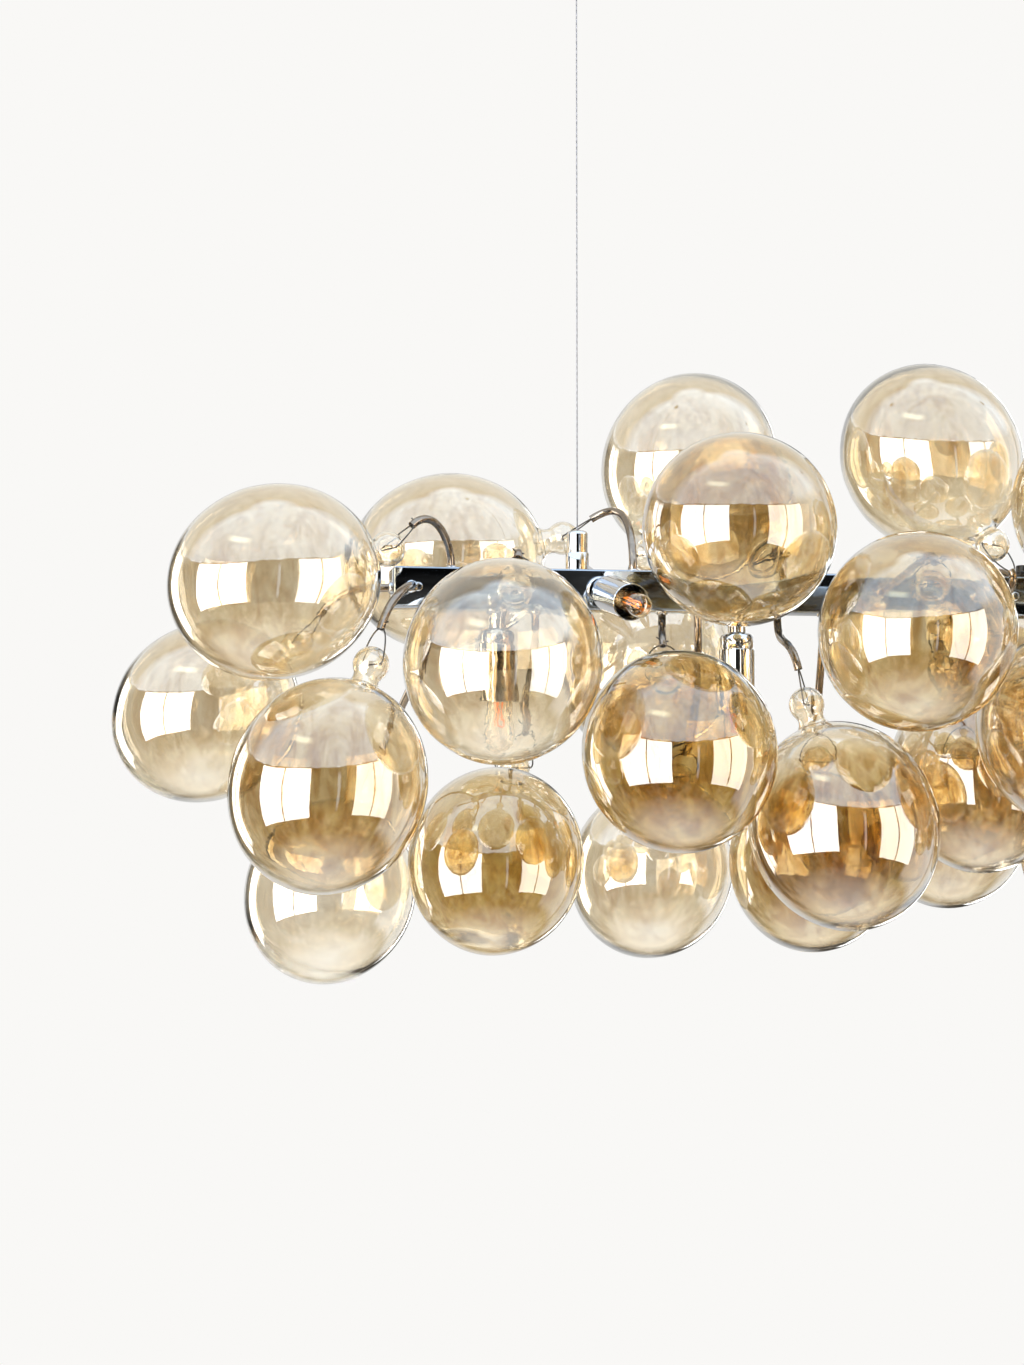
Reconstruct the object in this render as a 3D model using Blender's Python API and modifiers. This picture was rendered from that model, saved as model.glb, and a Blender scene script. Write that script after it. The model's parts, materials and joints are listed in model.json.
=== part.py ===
"""Linear pendant light: a chrome bar on two steel wires, hung about with blown glass balls and eight lamps.

The origin lies on the ceiling, midway between the two wires. X runs along the bar, -Y faces the viewer
and +Z is up. Places in the cluster are given in ball diameters from the middle of the bar.
"""

import math

import bmesh
import bpy
from mathutils import Matrix, Vector

# Hanging
DROP = 0.480
WIRE_SPAN = 0.610
WIRE_D = 0.0010

# Bar
BAR_LENGTH = 0.890
BAR_SIDE = 0.030
BAR_WALL = 0.0015
BAR_ROUND = 0.002

# Glass balls
BALL_D = 0.138
BALL_LENGTH = 0.154
SMALL_BALL_D = 0.132
SMALL_BALL_LENGTH = 0.147
GLASS_WALL = 0.0018
KNOB_D = 0.026
KNOB_NECK_D = 0.017
KNOB_RISE = 0.015
EYE_D = 0.0028

# Bent arms and the wire hooks at their tips
ARM_D = 0.006
ARM_SINK = 0.0035
ARM_BEND_SHARE = 0.4
HOOK_D = 0.0012
HOOK_WIDTH = 0.030
HOOK_HEIGHT = 0.028
HOOK_GRIP = 0.0015

# Lampholders and bulbs
NECK_D = 0.0135
NECK_LENGTH = 0.013
SHELL_D = 0.027
SHELL_LENGTH = 0.060
SHELL_WALL = 0.0012
SOCKET_DEPTH = 0.010
SOCKET_STEP = 0.033
BULB_CAP_D = 0.0137
BULB_CAP_LENGTH = 0.020
BULB_D = 0.017
BULB_LENGTH = 0.072
BULB_FIT = 0.00035
BOSS_D = 0.020
BOSS_RISE = 0.002
BOSS_SINK = 0.006

# Wire grips on the bar and cups on the ceiling
GRIP_D = 0.0174
GRIP_HEIGHT = 0.013
GRIP_BORE_D = 0.0162
GRIP_BORE_DEPTH = 0.004
PLUNGER_D = 0.0156
PLUNGER_HEIGHT = 0.0185
PLUNGER_SINK = 0.001
PLUNGER_ROUND = 0.003
WIRE_HOLE_D = 0.0018
WIRE_FOOT = 0.003
CUP_D = 0.025
CUP_HEIGHT = 0.022
CUP_WALL = 0.003
CUP_FLOOR = 0.002
CUP_MOUTH_D = 0.003
CUP_SCREW_D = 0.0045
WIRE_BALL_D = 0.005

# Cable gland
GLAND_D = 0.014
GLAND_HEIGHT = 0.010
GLAND_WAIST_D = 0.010
GLAND_BORE_D = 0.0075
GLAND_PLACE_SHARE = 0.33

# Fits and roundness
SEAT_GAP = 0.0003
OVERRUN = 0.002
BALL_SIDES = 8
TURNED_SIDES = 10
LAMP_SIDES = 8
EYE_SIDES = 4
ARM_STEPS = 3
HOOK_STEPS = 4
MERGE = 0.00001

# Rings of a ball's body, in degrees from its neck, and of a bulb's tip, in degrees from its point
BODY_RING_DEGREES = (24, 58, 92, 126, 157)
BULB_TIP_DEGREES = (35, 65, 90)

# One row a ball: its centre in ball diameters, the way its knob points, how far the hook leans up
# from that, the arm's root along the bar in ball diameters, the face of the bar that it leaves,
# whether the ball is a small one, and whether it has a twin, turned half way round the bar's middle.
BALL_SHARES = (
    ((-3.89, -0.53, -0.03), (0.90, 0.30, 0.30), 0.6, -2.90, "top", False, True),
    ((-4.18, 0.51, -0.65), (0.76, -0.35, 0.55), 0.5, -3.22, "left", True, True),
    ((-2.83, 0.64, 0.21), (0.95, -0.18, 0.20), 0.6, -1.90, "top", False, True),
    ((-2.79, -0.99, -0.45), (0.23, 0.75, 0.62), 0.8, -2.57, "front", False, True),
    ((-3.63, -0.70, -1.07), (0.34, 0.15, 0.93), 0.3, -3.13, "front", False, True),
    ((-2.62, 0.22, -1.46), (0.25, 0.55, 0.80), 0.8, -2.43, "under", True, True),
    ((-3.46, 0.83, -1.64), (0.35, -0.30, 0.89), 0.5, -3.04, "under", True, True),
    ((-1.85, -0.83, -0.89), (0.08, 0.78, 0.62), 0.8, -1.74, "under", False, True),
    ((-1.54, 1.12, -1.54), (0.10, -0.65, 0.75), 0.2, -1.54, "under", True, True),
    ((-1.53, -0.84, 0.25), (0.41, 0.91, -0.05), 0.3, -1.09, "top", False, True),
    ((-0.71, -1.22, -0.29), (0.40, 0.80, 0.42), 0.8, -0.54, "front", False, True),
    ((-1.62, 0.83, -0.37), (0.30, -0.80, 0.52), 0.5, -1.36, "back", False, True),
    ((-0.90, -0.57, -1.27), (-0.26, 0.12, 0.96), 0.3, -1.09, "under", False, False),
    ((-0.74, 0.51, -1.47), (-0.10, -0.45, 0.89), 0.4, -0.83, "under", True, False),
    ((-1.41, 0.69, 0.80), (-0.45, -0.35, -0.82), 0.0, -1.81, "back", False, False),
    ((-0.12, 0.22, 0.81), (0.35, -0.50, -0.79), 0.0, 0.18, "front", False, False),
    ((0.07, 0.07, -1.01), (-0.25, 0.25, 0.94), 0.3, -0.11, "under", True, False),
    ((0.32, 1.21, -1.27), (-0.15, -0.75, 0.64), 0.6, 0.25, "under", True, False),
    ((0.22, -0.99, -0.78), (-0.20, 0.80, 0.56), 0.7, 0.04, "front", False, False),
    ((0.55, -0.66, 0.44), (0.50, 0.80, -0.33), 0.2, 1.05, "top", False, False),
    ((1.00, 0.41, -1.36), (0.26, -0.12, 0.96), 0.3, 1.09, "under", False, False),
    ((1.52, -0.71, 0.85), (0.45, 0.35, -0.82), 0.0, 1.81, "front", False, False),
)

# Each lamp of the left half: its station along the bar in ball diameters, and where it points.
# Its twin on the right is turned half way round the bar's middle.
LAMP_SHARES = (
    (-2.65, (0.0, 0.0, -1.0)),
    (-1.32, (0.0, 0.0, -1.0)),
    (-2.11, (0.10, -0.97, -0.21)),
    (-2.11, (0.10, 0.97, 0.21)),
)

FACE_NORMALS = {
    "top": Vector((0, 0, 1)),
    "under": Vector((0, 0, -1)),
    "front": Vector((0, -1, 0)),
    "back": Vector((0, 1, 0)),
    "left": Vector((-1, 0, 0)),
    "right": Vector((1, 0, 0)),
}
TWIN_FACES = {
    "top": "top",
    "under": "under",
    "front": "back",
    "back": "front",
    "left": "right",
    "right": "left",
}
HALF_TURN = Matrix.Rotation(math.pi, 3, "Z")
UP = Vector((0, 0, 1))
BAR_CENTRE = Vector((0, 0, -DROP))
SWAY_AXIS = Vector((0, 0, CUP_FLOOR / 2 - CUP_HEIGHT))


def clear_scene():
    for thing in list(bpy.data.objects):
        bpy.data.objects.remove(thing, do_unlink=True)


def new_collection(name, hidden=False):
    collection = bpy.data.collections.new(name)
    bpy.context.scene.collection.children.link(collection)
    collection.hide_render = hidden
    return collection


def principled(name, colour, metallic, roughness, transmission=0.0):
    material = bpy.data.materials.new(name)
    material.use_nodes = True
    shader = material.node_tree.nodes["Principled BSDF"]
    shader.inputs["Base Color"].default_value = (*colour, 1)
    shader.inputs["Metallic"].default_value = metallic
    shader.inputs["Roughness"].default_value = roughness
    shader.inputs["Transmission Weight"].default_value = transmission
    material.diffuse_color = (*colour, 1)
    return material


def add_object(name, data, collection, place=None):
    thing = bpy.data.objects.new(name, data)
    collection.objects.link(thing)
    if place is not None:
        thing.matrix_world = place
    if collection.hide_render:
        thing.hide_render = True
        thing.display_type = "WIRE"
    return thing


def finished_mesh(thing):
    """The object's mesh as its modifiers leave it; the object itself is removed."""
    bpy.context.view_layer.update()
    graph = bpy.context.evaluated_depsgraph_get()
    mesh = bpy.data.meshes.new_from_object(thing.evaluated_get(graph))
    mesh.name = thing.name
    bpy.data.objects.remove(thing, do_unlink=True)
    weld = bmesh.new()
    weld.from_mesh(mesh)
    bmesh.ops.remove_doubles(weld, verts=weld.verts, dist=MERGE)
    weld.to_mesh(mesh)
    weld.free()
    return mesh


def turned_object(name, profile, collection, sides=TURNED_SIDES, place=None):
    """A turned solid: the profile's (radius, height) points run down the outer side, top to bottom."""
    mesh = bpy.data.meshes.new(name)
    outline = bmesh.new()
    points = [outline.verts.new((radius, 0, height)) for radius, height in profile]
    for first, second in zip(points, points[1:]):
        outline.edges.new((first, second))
    outline.to_mesh(mesh)
    outline.free()
    thing = add_object(name, mesh, collection, place)
    screw = thing.modifiers.new("turn", "SCREW")
    screw.steps = sides
    screw.render_steps = sides
    screw.use_merge_vertices = True
    screw.merge_threshold = MERGE
    return thing


def ring_profile(profile):
    """A profile closed on itself, for a turned piece with a hole along its axis."""
    return list(profile) + [profile[0]]


def box_object(name, sides, centre, collection):
    mesh = bpy.data.meshes.new(name)
    block = bmesh.new()
    bmesh.ops.create_cube(block, size=1, matrix=Matrix.Diagonal((*sides, 1)))
    block.to_mesh(mesh)
    block.free()
    return add_object(name, mesh, collection, Matrix.Translation(centre))


def rod_object(name, diameter, start, end, collection, sides=TURNED_SIDES):
    """A plain round rod between two points."""
    span = end - start
    mesh = bpy.data.meshes.new(name)
    rod = bmesh.new()
    bmesh.ops.create_cone(
        rod,
        cap_ends=True,
        segments=sides,
        radius1=diameter / 2,
        radius2=diameter / 2,
        depth=span.length,
    )
    rod.to_mesh(mesh)
    rod.free()
    turn = UP.rotation_difference(span).to_matrix().to_4x4()
    place = Matrix.Translation((start + end) / 2) @ turn
    return add_object(name, mesh, collection, place)


def tube_mesh(name, points, diameter, resolution, closed, collection):
    """A wire or tube along the points, as a closed mesh."""
    curve = bpy.data.curves.new(name, "CURVE")
    curve.dimensions = "3D"
    curve.bevel_depth = diameter / 2
    curve.bevel_resolution = resolution
    curve.use_fill_caps = not closed
    spline = curve.splines.new("POLY")
    spline.points.add(len(points) - 1)
    for point, place in zip(spline.points, points):
        point.co = (*place, 1)
    spline.use_cyclic_u = closed
    return finished_mesh(add_object(name, curve, collection))


def cut(thing, cutter, operation="DIFFERENCE"):
    boolean = thing.modifiers.new(cutter.name, "BOOLEAN")
    boolean.operation = operation
    boolean.object = cutter


def smooth(thing, degrees=35):
    thing.data.shade_smooth()
    thing.data.set_sharp_from_angle(angle=math.radians(degrees))


def frame_of(x_axis, z_axis, place):
    """A matrix whose X and Z follow two directions that are square to each other."""
    y_axis = z_axis.cross(x_axis)
    turn = Matrix((x_axis, y_axis, z_axis)).transposed()
    return Matrix.Translation(place) @ turn.to_4x4()


def ball_size(small):
    """A ball's diameter, and its length from the foot of the neck to the far end."""
    return (SMALL_BALL_D, SMALL_BALL_LENGTH) if small else (BALL_D, BALL_LENGTH)


class Ball:
    """Where one glass ball hangs: its knob, its hook and the arm that carries it."""

    def __init__(self, name, row, turned):
        centre, knob_way, lean, root, face, small, _ = row
        turn = HALF_TURN if turned else Matrix.Identity(3)
        self.name = name
        self.small = small
        self.knob_way = (turn @ Vector(knob_way)).normalized()
        reach = ball_size(small)[1] / 2 + KNOB_RISE
        self.knob = BAR_CENTRE + turn @ (Vector(centre) * BALL_D) + self.knob_way * reach
        self.hinge_way = UP.cross(self.knob_way).normalized()
        self.pull_way = (self.knob_way + UP * lean).normalized()
        self.face = TWIN_FACES[face] if turned else face
        along = (-root if turned else root) * BALL_D
        normal = FACE_NORMALS[self.face]
        if normal.x:
            self.root = BAR_CENTRE + normal * BAR_LENGTH / 2
        else:
            self.root = BAR_CENTRE + normal * BAR_SIDE / 2 + Vector((along, 0, 0))

    def ball_frame(self):
        return frame_of(self.hinge_way, self.knob_way, self.knob)

    def hook_frame(self):
        return frame_of(self.hinge_way, self.pull_way, self.knob)

    def arm_points(self):
        """The arm leaves the bar square to its face and bends round to point at the knob."""
        tip = self.knob + self.pull_way * (HOOK_HEIGHT - HOOK_GRIP)
        normal = FACE_NORMALS[self.face]
        bend = (tip - self.root).length * ARM_BEND_SHARE
        leave = self.root + normal * bend
        arrive = tip + self.pull_way * bend
        points = [self.root - normal * ARM_SINK]
        for step in range(ARM_STEPS + 1):
            t = step / ARM_STEPS
            points.append(
                self.root * (1 - t) ** 3
                + leave * 3 * t * (1 - t) ** 2
                + arrive * 3 * t**2 * (1 - t)
                + tip * t**3
            )
        return points


def all_balls():
    balls = []
    for turned in (False, True):
        for row in BALL_SHARES:
            if turned and not row[-1]:
                continue
            balls.append(Ball(f"globe_{len(balls) + 1:02d}", row, turned))
    return balls


def ball_profile(diameter, length, inset):
    """The ball, its neck and its hollow knob, knob centre at height zero, drawn in by the inset."""
    knob = KNOB_D / 2 - inset
    neck = KNOB_NECK_D / 2 - inset
    neck_height = -math.sqrt(knob**2 - neck**2)
    middle = -(length / 2 + KNOB_RISE)
    across = diameter / 2 - inset
    along = length / 2 - inset
    points = [(0, knob), (knob, 0), (neck, neck_height)]
    for degrees in BODY_RING_DEGREES:
        angle = math.radians(degrees)
        points.append((across * math.sin(angle), middle + along * math.cos(angle)))
    points.append((0, middle - along))
    return points


def ball_mesh(name, small, cutters):
    """A blown ball: one wall all over, with the two eyes of the knob for the hook wire."""
    diameter, length = ball_size(small)
    outside = ball_profile(diameter, length, 0)
    inside = ball_profile(diameter, length, GLASS_WALL)
    ball = turned_object(name, outside, cutters, BALL_SIDES)
    hollow = turned_object(name + "_hollow", inside, cutters, BALL_SIDES)
    reach = Vector((KNOB_D / 2 + OVERRUN, 0, 0))
    eyes = rod_object(name + "_eyes", EYE_D, -reach, reach, cutters, EYE_SIDES)
    cut(ball, hollow)
    cut(ball, eyes)
    return finished_mesh(ball)


def make_balls(balls, parts, cutters, glass):
    meshes = {}
    for small in (False, True):
        name = "small_ball" if small else "ball"
        meshes[small] = ball_mesh(name, small, cutters)
        meshes[small].materials.append(glass)
    for ball in balls:
        thing = add_object(ball.name, meshes[ball.small], parts, ball.ball_frame())
        smooth(thing, 60)


def hook_mesh(cutters):
    """The hook: a straight run through the knob's eyes, closed by an arc over the top."""
    points = []
    for step in range(HOOK_STEPS + 1):
        angle = math.pi * step / HOOK_STEPS
        points.append((HOOK_WIDTH / 2 * math.cos(angle), 0, HOOK_HEIGHT * math.sin(angle)))
    return tube_mesh("hook", points, HOOK_D, 0, True, cutters)


def lamp_places():
    """Where each lamp leaves the bar, and which way it points."""
    places = []
    for turned in (False, True):
        turn = HALF_TURN if turned else Matrix.Identity(3)
        for station, way in LAMP_SHARES:
            out = (turn @ Vector(way)).normalized()
            along = turn @ Vector((station * BALL_D, 0, 0))
            face = Vector((0, math.copysign(1, out.y), 0)) if abs(out.y) > abs(out.z) else -UP
            places.append((BAR_CENTRE + along + face * BAR_SIDE / 2, out))
    return places


def make_bar(balls, parts, cutters, additions, chrome):
    """The hollow bar with its arms, hooks and lamp bosses, which are brazed to it."""
    bar = box_object("bar_frame", (BAR_LENGTH, BAR_SIDE, BAR_SIDE), BAR_CENTRE, parts)
    bevel = bar.modifiers.new("rounded edges", "BEVEL")
    bevel.width = BAR_ROUND
    bevel.segments = 1
    hook = hook_mesh(cutters)
    for ball in balls:
        arm = tube_mesh(ball.name + "_arm", ball.arm_points(), ARM_D, 1, False, cutters)
        add_object(ball.name + "_arm", arm, additions)
        add_object(ball.name + "_hook", hook, additions, ball.hook_frame())
    for number, (foot, out) in enumerate(lamp_places(), 1):
        sunk = foot - out * BOSS_SINK
        rod_object(f"boss_{number}", BOSS_D, sunk, foot + out * BOSS_RISE, additions, LAMP_SIDES)
    union = bar.modifiers.new("arms, hooks and bosses", "BOOLEAN")
    union.operation = "UNION"
    union.operand_type = "COLLECTION"
    union.collection = additions
    inner = BAR_SIDE - 2 * BAR_WALL
    cut(bar, box_object("bar_hollow", (BAR_LENGTH - 2 * BAR_WALL, inner, inner), BAR_CENTRE, cutters))
    entry = gland_foot()
    reach = Vector((0, 0, BAR_WALL + OVERRUN))
    cut(bar, rod_object("cable_entry", GLAND_BORE_D, entry - reach, entry + reach, cutters))
    bar.data.materials.append(chrome)
    smooth(bar)


def lamp_profile():
    """A lampholder from its mouth, down its outside to the neck, with the socket bored from the mouth."""
    mouth = NECK_LENGTH + SHELL_LENGTH
    bore = SHELL_D / 2 - SHELL_WALL
    socket = BULB_CAP_D / 2 + BULB_FIT
    step = NECK_LENGTH + SHELL_LENGTH - SOCKET_STEP
    return [
        (0, step - SOCKET_DEPTH),
        (socket, step - SOCKET_DEPTH),
        (socket, step),
        (bore, step),
        (bore, mouth),
        (SHELL_D / 2, mouth),
        (SHELL_D / 2, NECK_LENGTH),
        (NECK_D / 2, NECK_LENGTH),
        (NECK_D / 2, 0),
        (0, 0),
    ]


def bulb_profile():
    """A tubular bulb, tip first: rounded glass, then the cap that screws into the socket."""
    radius = BULB_D / 2
    cap = BULB_CAP_D / 2
    points = [(0, BULB_LENGTH)]
    for degrees in BULB_TIP_DEGREES:
        angle = math.radians(degrees)
        points.append((radius * math.sin(angle), BULB_LENGTH - radius + radius * math.cos(angle)))
    points += [(radius, BULB_CAP_LENGTH + radius - cap), (cap, BULB_CAP_LENGTH), (cap, 0), (0, 0)]
    return points


def make_lamps(parts, chrome, bulb_glass):
    socket_floor = NECK_LENGTH + SHELL_LENGTH - SOCKET_STEP - SOCKET_DEPTH
    for number, (foot, out) in enumerate(lamp_places(), 1):
        turn = UP.rotation_difference(out).to_matrix().to_4x4()
        seat = foot + out * (BOSS_RISE + SEAT_GAP)
        place = Matrix.Translation(seat) @ turn
        holder = turned_object(f"lampholder_{number}", lamp_profile(), parts, LAMP_SIDES, place)
        holder.data.materials.append(chrome)
        place = Matrix.Translation(seat + out * (socket_floor + SEAT_GAP)) @ turn
        bulb = turned_object(f"bulb_{number}", bulb_profile(), parts, LAMP_SIDES, place)
        bulb.data.materials.append(bulb_glass)


def grip_foot(side):
    return BAR_CENTRE + Vector((side * WIRE_SPAN / 2, 0, BAR_SIDE / 2 + SEAT_GAP))


def make_grips(parts, chrome):
    """On the bar, one for each wire: a cupped body, and the plunger that is pushed to free the wire."""
    floor = GRIP_HEIGHT - GRIP_BORE_DEPTH
    hole = WIRE_HOLE_D / 2
    body = [
        (GRIP_BORE_D / 2, floor),
        (GRIP_BORE_D / 2, GRIP_HEIGHT),
        (GRIP_D / 2, GRIP_HEIGHT),
        (GRIP_D / 2, 0),
        (hole, 0),
        (hole, floor),
    ]
    plunger = [
        (hole, PLUNGER_HEIGHT),
        (PLUNGER_D / 2 - PLUNGER_ROUND, PLUNGER_HEIGHT - PLUNGER_ROUND / 4),
        (PLUNGER_D / 2, PLUNGER_HEIGHT - PLUNGER_ROUND),
        (PLUNGER_D / 2, 0),
        (hole, 0),
    ]
    for name, side in (("left", -1), ("right", 1)):
        foot = grip_foot(side)
        grip = turned_object(
            f"grip_body_{name}", ring_profile(body), parts, TURNED_SIDES, Matrix.Translation(foot)
        )
        grip.data.materials.append(chrome)
        lift = Vector((0, 0, GRIP_HEIGHT - PLUNGER_SINK))
        button = turned_object(
            f"grip_plunger_{name}",
            ring_profile(plunger),
            parts,
            TURNED_SIDES,
            Matrix.Translation(foot + lift),
        )
        button.data.materials.append(chrome)


def make_cups(parts, chrome):
    """Ceiling cups: screwed up through the top, open below where the wire comes out."""
    bore = CUP_D / 2 - CUP_WALL
    mouth = CUP_MOUTH_D / 2
    screw = CUP_SCREW_D / 2
    profile = [
        (screw, 0),
        (CUP_D / 2, 0),
        (CUP_D / 2, -CUP_HEIGHT),
        (mouth, -CUP_HEIGHT),
        (mouth, CUP_FLOOR - CUP_HEIGHT),
        (bore, CUP_FLOOR - CUP_HEIGHT),
        (bore, -CUP_WALL),
        (screw, -CUP_WALL),
    ]
    for name, side in (("left", -1), ("right", 1)):
        place = Matrix.Translation(Vector((side * WIRE_SPAN / 2, 0, 0)))
        cup = turned_object(f"ceiling_cup_{name}", ring_profile(profile), parts, TURNED_SIDES, place)
        cup.data.materials.append(chrome)


def make_wires(parts, cutters, steel):
    """Taut suspension wires: a ball end in the ceiling cup, the foot inside the grip."""
    ball_height = CUP_FLOOR - CUP_HEIGHT + SEAT_GAP + WIRE_BALL_D / 2
    for name, side in (("left", -1), ("right", 1)):
        top = Vector((side * WIRE_SPAN / 2, 0, ball_height))
        foot = grip_foot(side) + Vector((0, 0, WIRE_FOOT))
        wire = add_object(
            f"wire_{name}", tube_mesh("wire", [top, foot], WIRE_D, 2, False, cutters), parts
        )
        mesh = bpy.data.meshes.new("wire_ball")
        ball = bmesh.new()
        bmesh.ops.create_icosphere(ball, subdivisions=1, radius=WIRE_BALL_D / 2)
        ball.to_mesh(mesh)
        ball.free()
        end = add_object(f"wire_ball_{name}", mesh, cutters, Matrix.Translation(top))
        cut(wire, end, "UNION")
        wire.data.materials.append(steel)


def gland_foot():
    return BAR_CENTRE + Vector((GLAND_PLACE_SHARE * BALL_D, 0, BAR_SIDE / 2))


def make_gland(parts, dark):
    bore = GLAND_BORE_D / 2
    profile = [
        (bore, GLAND_HEIGHT),
        (GLAND_WAIST_D / 2, GLAND_HEIGHT),
        (GLAND_WAIST_D / 2, GLAND_HEIGHT / 2),
        (GLAND_D / 2, GLAND_HEIGHT / 2),
        (GLAND_D / 2, 0),
        (bore, 0),
    ]
    place = Matrix.Translation(gland_foot() + Vector((0, 0, SEAT_GAP)))
    gland = turned_object("cable_gland", ring_profile(profile), parts, TURNED_SIDES, place)
    gland.data.materials.append(dark)


def hang(parts):
    """All that swings below the ceiling cups is parented to an empty on the line through both cup mouths."""
    pivot = add_object("sway_axis", None, parts, Matrix.Translation(SWAY_AXIS))
    for thing in parts.objects:
        if thing != pivot and not thing.name.startswith("ceiling_cup"):
            thing.parent = pivot
            thing.matrix_parent_inverse = Matrix.Translation(-SWAY_AXIS)


def main():
    clear_scene()
    parts = new_collection("glass_bubble_pendant")
    cutters = new_collection("cutters", hidden=True)
    additions = new_collection("bar_additions", hidden=True)
    chrome = principled("chrome", (0.80, 0.80, 0.82), 1.0, 0.06)
    steel = principled("steel_wire", (0.55, 0.55, 0.56), 1.0, 0.30)
    glass = principled("amber_glass", (0.93, 0.82, 0.62), 0.0, 0.02, 1.0)
    bulb_glass = principled("bulb_glass", (0.95, 0.90, 0.80), 0.0, 0.03, 1.0)
    dark = principled("gland_black", (0.03, 0.03, 0.03), 0.0, 0.45)
    balls = all_balls()
    make_balls(balls, parts, cutters, glass)
    make_bar(balls, parts, cutters, additions, chrome)
    make_lamps(parts, chrome, bulb_glass)
    make_grips(parts, chrome)
    make_cups(parts, chrome)
    make_wires(parts, cutters, steel)
    make_gland(parts, dark)
    hang(parts)


main()
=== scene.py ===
"""Linear pendant light: a chrome bar on two steel wires, with amber glass balls and eight lamps.

The sections follow the light as it is put together: the view and the wires, the studio round it, the
glass balls, the bar with its arms and wire hooks, the lamps, and the fittings that hold the wires.
"""

import json
import math

import bmesh
import bpy
from mathutils import Matrix, Vector, noise

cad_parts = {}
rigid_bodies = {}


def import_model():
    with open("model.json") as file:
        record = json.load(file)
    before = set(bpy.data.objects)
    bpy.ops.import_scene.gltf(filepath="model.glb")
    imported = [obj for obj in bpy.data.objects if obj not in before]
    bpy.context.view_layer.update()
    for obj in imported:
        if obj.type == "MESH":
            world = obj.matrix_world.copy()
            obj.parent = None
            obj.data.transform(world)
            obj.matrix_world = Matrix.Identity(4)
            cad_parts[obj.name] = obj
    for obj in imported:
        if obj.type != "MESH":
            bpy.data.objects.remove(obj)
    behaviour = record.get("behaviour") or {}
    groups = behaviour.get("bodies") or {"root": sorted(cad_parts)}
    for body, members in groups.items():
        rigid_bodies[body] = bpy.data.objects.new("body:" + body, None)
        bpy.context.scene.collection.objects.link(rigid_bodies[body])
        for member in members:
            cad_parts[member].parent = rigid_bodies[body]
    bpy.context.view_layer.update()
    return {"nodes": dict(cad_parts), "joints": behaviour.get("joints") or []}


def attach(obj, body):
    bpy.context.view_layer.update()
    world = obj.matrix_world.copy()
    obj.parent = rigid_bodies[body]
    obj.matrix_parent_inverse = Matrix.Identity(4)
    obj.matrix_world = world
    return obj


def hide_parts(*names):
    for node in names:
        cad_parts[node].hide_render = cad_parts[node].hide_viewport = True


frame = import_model()

# Camera
# It looks from the photographer's place, a little below the bar, turned to the left half of the light
# and tilted up. The focal length was measured in pixels of the photograph.
PHOTO_HEIGHT = 1365
FOCAL_PIXELS = 2500
FILM_SIDE = 36
CAMERA_PLACE = (-0.6765, -1.8257, -0.6527)
CAMERA_TILT, CAMERA_TURN = math.radians(3.2), math.radians(-10)

lens = bpy.data.cameras.new("photo_camera")
lens.sensor_width = FILM_SIDE
lens.lens = FILM_SIDE * FOCAL_PIXELS / PHOTO_HEIGHT
camera = bpy.data.objects.new("photo_camera", lens)
camera.location = CAMERA_PLACE
camera.rotation_euler = (math.pi / 2 + CAMERA_TILT, 0, CAMERA_TURN)
objects = bpy.context.scene.collection.objects
objects.link(camera)
bpy.context.scene.camera = camera

# Suspension wires
# Two stranded steel wires, 1 mm thick, that run taut from a ball end in the ceiling cup down into the
# grip on the bar. A ball end is cast onto the top of each, as a piece of its own.
WIRE_D = 0.0010
WIRE_TOP, WIRE_FOOT = -0.0172, -0.4617
WIRE_SIDE = 0.305
LEFT_AND_RIGHT = (("left", -1), ("right", 1))
WIRE_BALL_D = 0.005
WIRE_BALL_RINGS, WIRE_BALL_SIDES = 12, 20
# A wave texture's band is as wide as this share of one over its scale
STRAND_PITCH, STRAND_SLANT, BAND_SHARE = 0.004, 0.5, 0.3
ROUNDING_STEPS = 3
# An edge this sharp stays an edge, and a radius this small lies on the axis
SHARP_DEGREES = 32
ON_AXIS = 1e-7


def linear(colour):
    """The linear RGBA of an sRGB hex colour."""
    parts = [int(colour[place:place + 2], 16) / 255 for place in (1, 3, 5)]
    return (*(((part + 0.055) / 1.055) ** 2.4 if part > 0.04045 else part / 12.92 for part in parts), 1)


def add_node(tree, kind, inputs=None, **settings):
    """A new node. An input takes a value, or another node's output, which it is linked to."""
    node = tree.nodes.new(kind)
    for name, value in settings.items():
        setattr(node, name, value)
    for socket, value in (inputs or {}).items():
        if isinstance(value, bpy.types.NodeSocket):
            tree.links.new(value, node.inputs[socket])
        else:
            node.inputs[socket].default_value = value
    return node


def new_material(name, **values):
    """A material with its Principled shader, whose constant sockets take the values by name."""
    material = bpy.data.materials.new(name)
    material.use_nodes = True
    shader = material.node_tree.nodes["Principled BSDF"]
    for socket, value in values.items():
        shader.inputs[socket.replace("_", " ")].default_value = value
    return material, material.node_tree, shader


def new_piece(name, mesh, material, sharp_degrees=SHARP_DEGREES):
    """An object at the origin that shows this mesh, which may come as a bmesh. Nought degrees leaves it
    flat shaded."""
    if isinstance(mesh, bmesh.types.BMesh):
        shape, mesh = mesh, bpy.data.meshes.new(name)
        bmesh.ops.recalc_face_normals(shape, faces=shape.faces)
        shape.to_mesh(mesh)
        shape.free()
    mesh.name = name
    if sharp_degrees:
        mesh.shade_smooth()
        mesh.set_sharp_from_angle(angle=math.radians(sharp_degrees))
    mesh.materials.clear()
    mesh.materials.append(material)
    piece = bpy.data.objects.new(name, mesh)
    objects.link(piece)
    return piece


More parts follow.
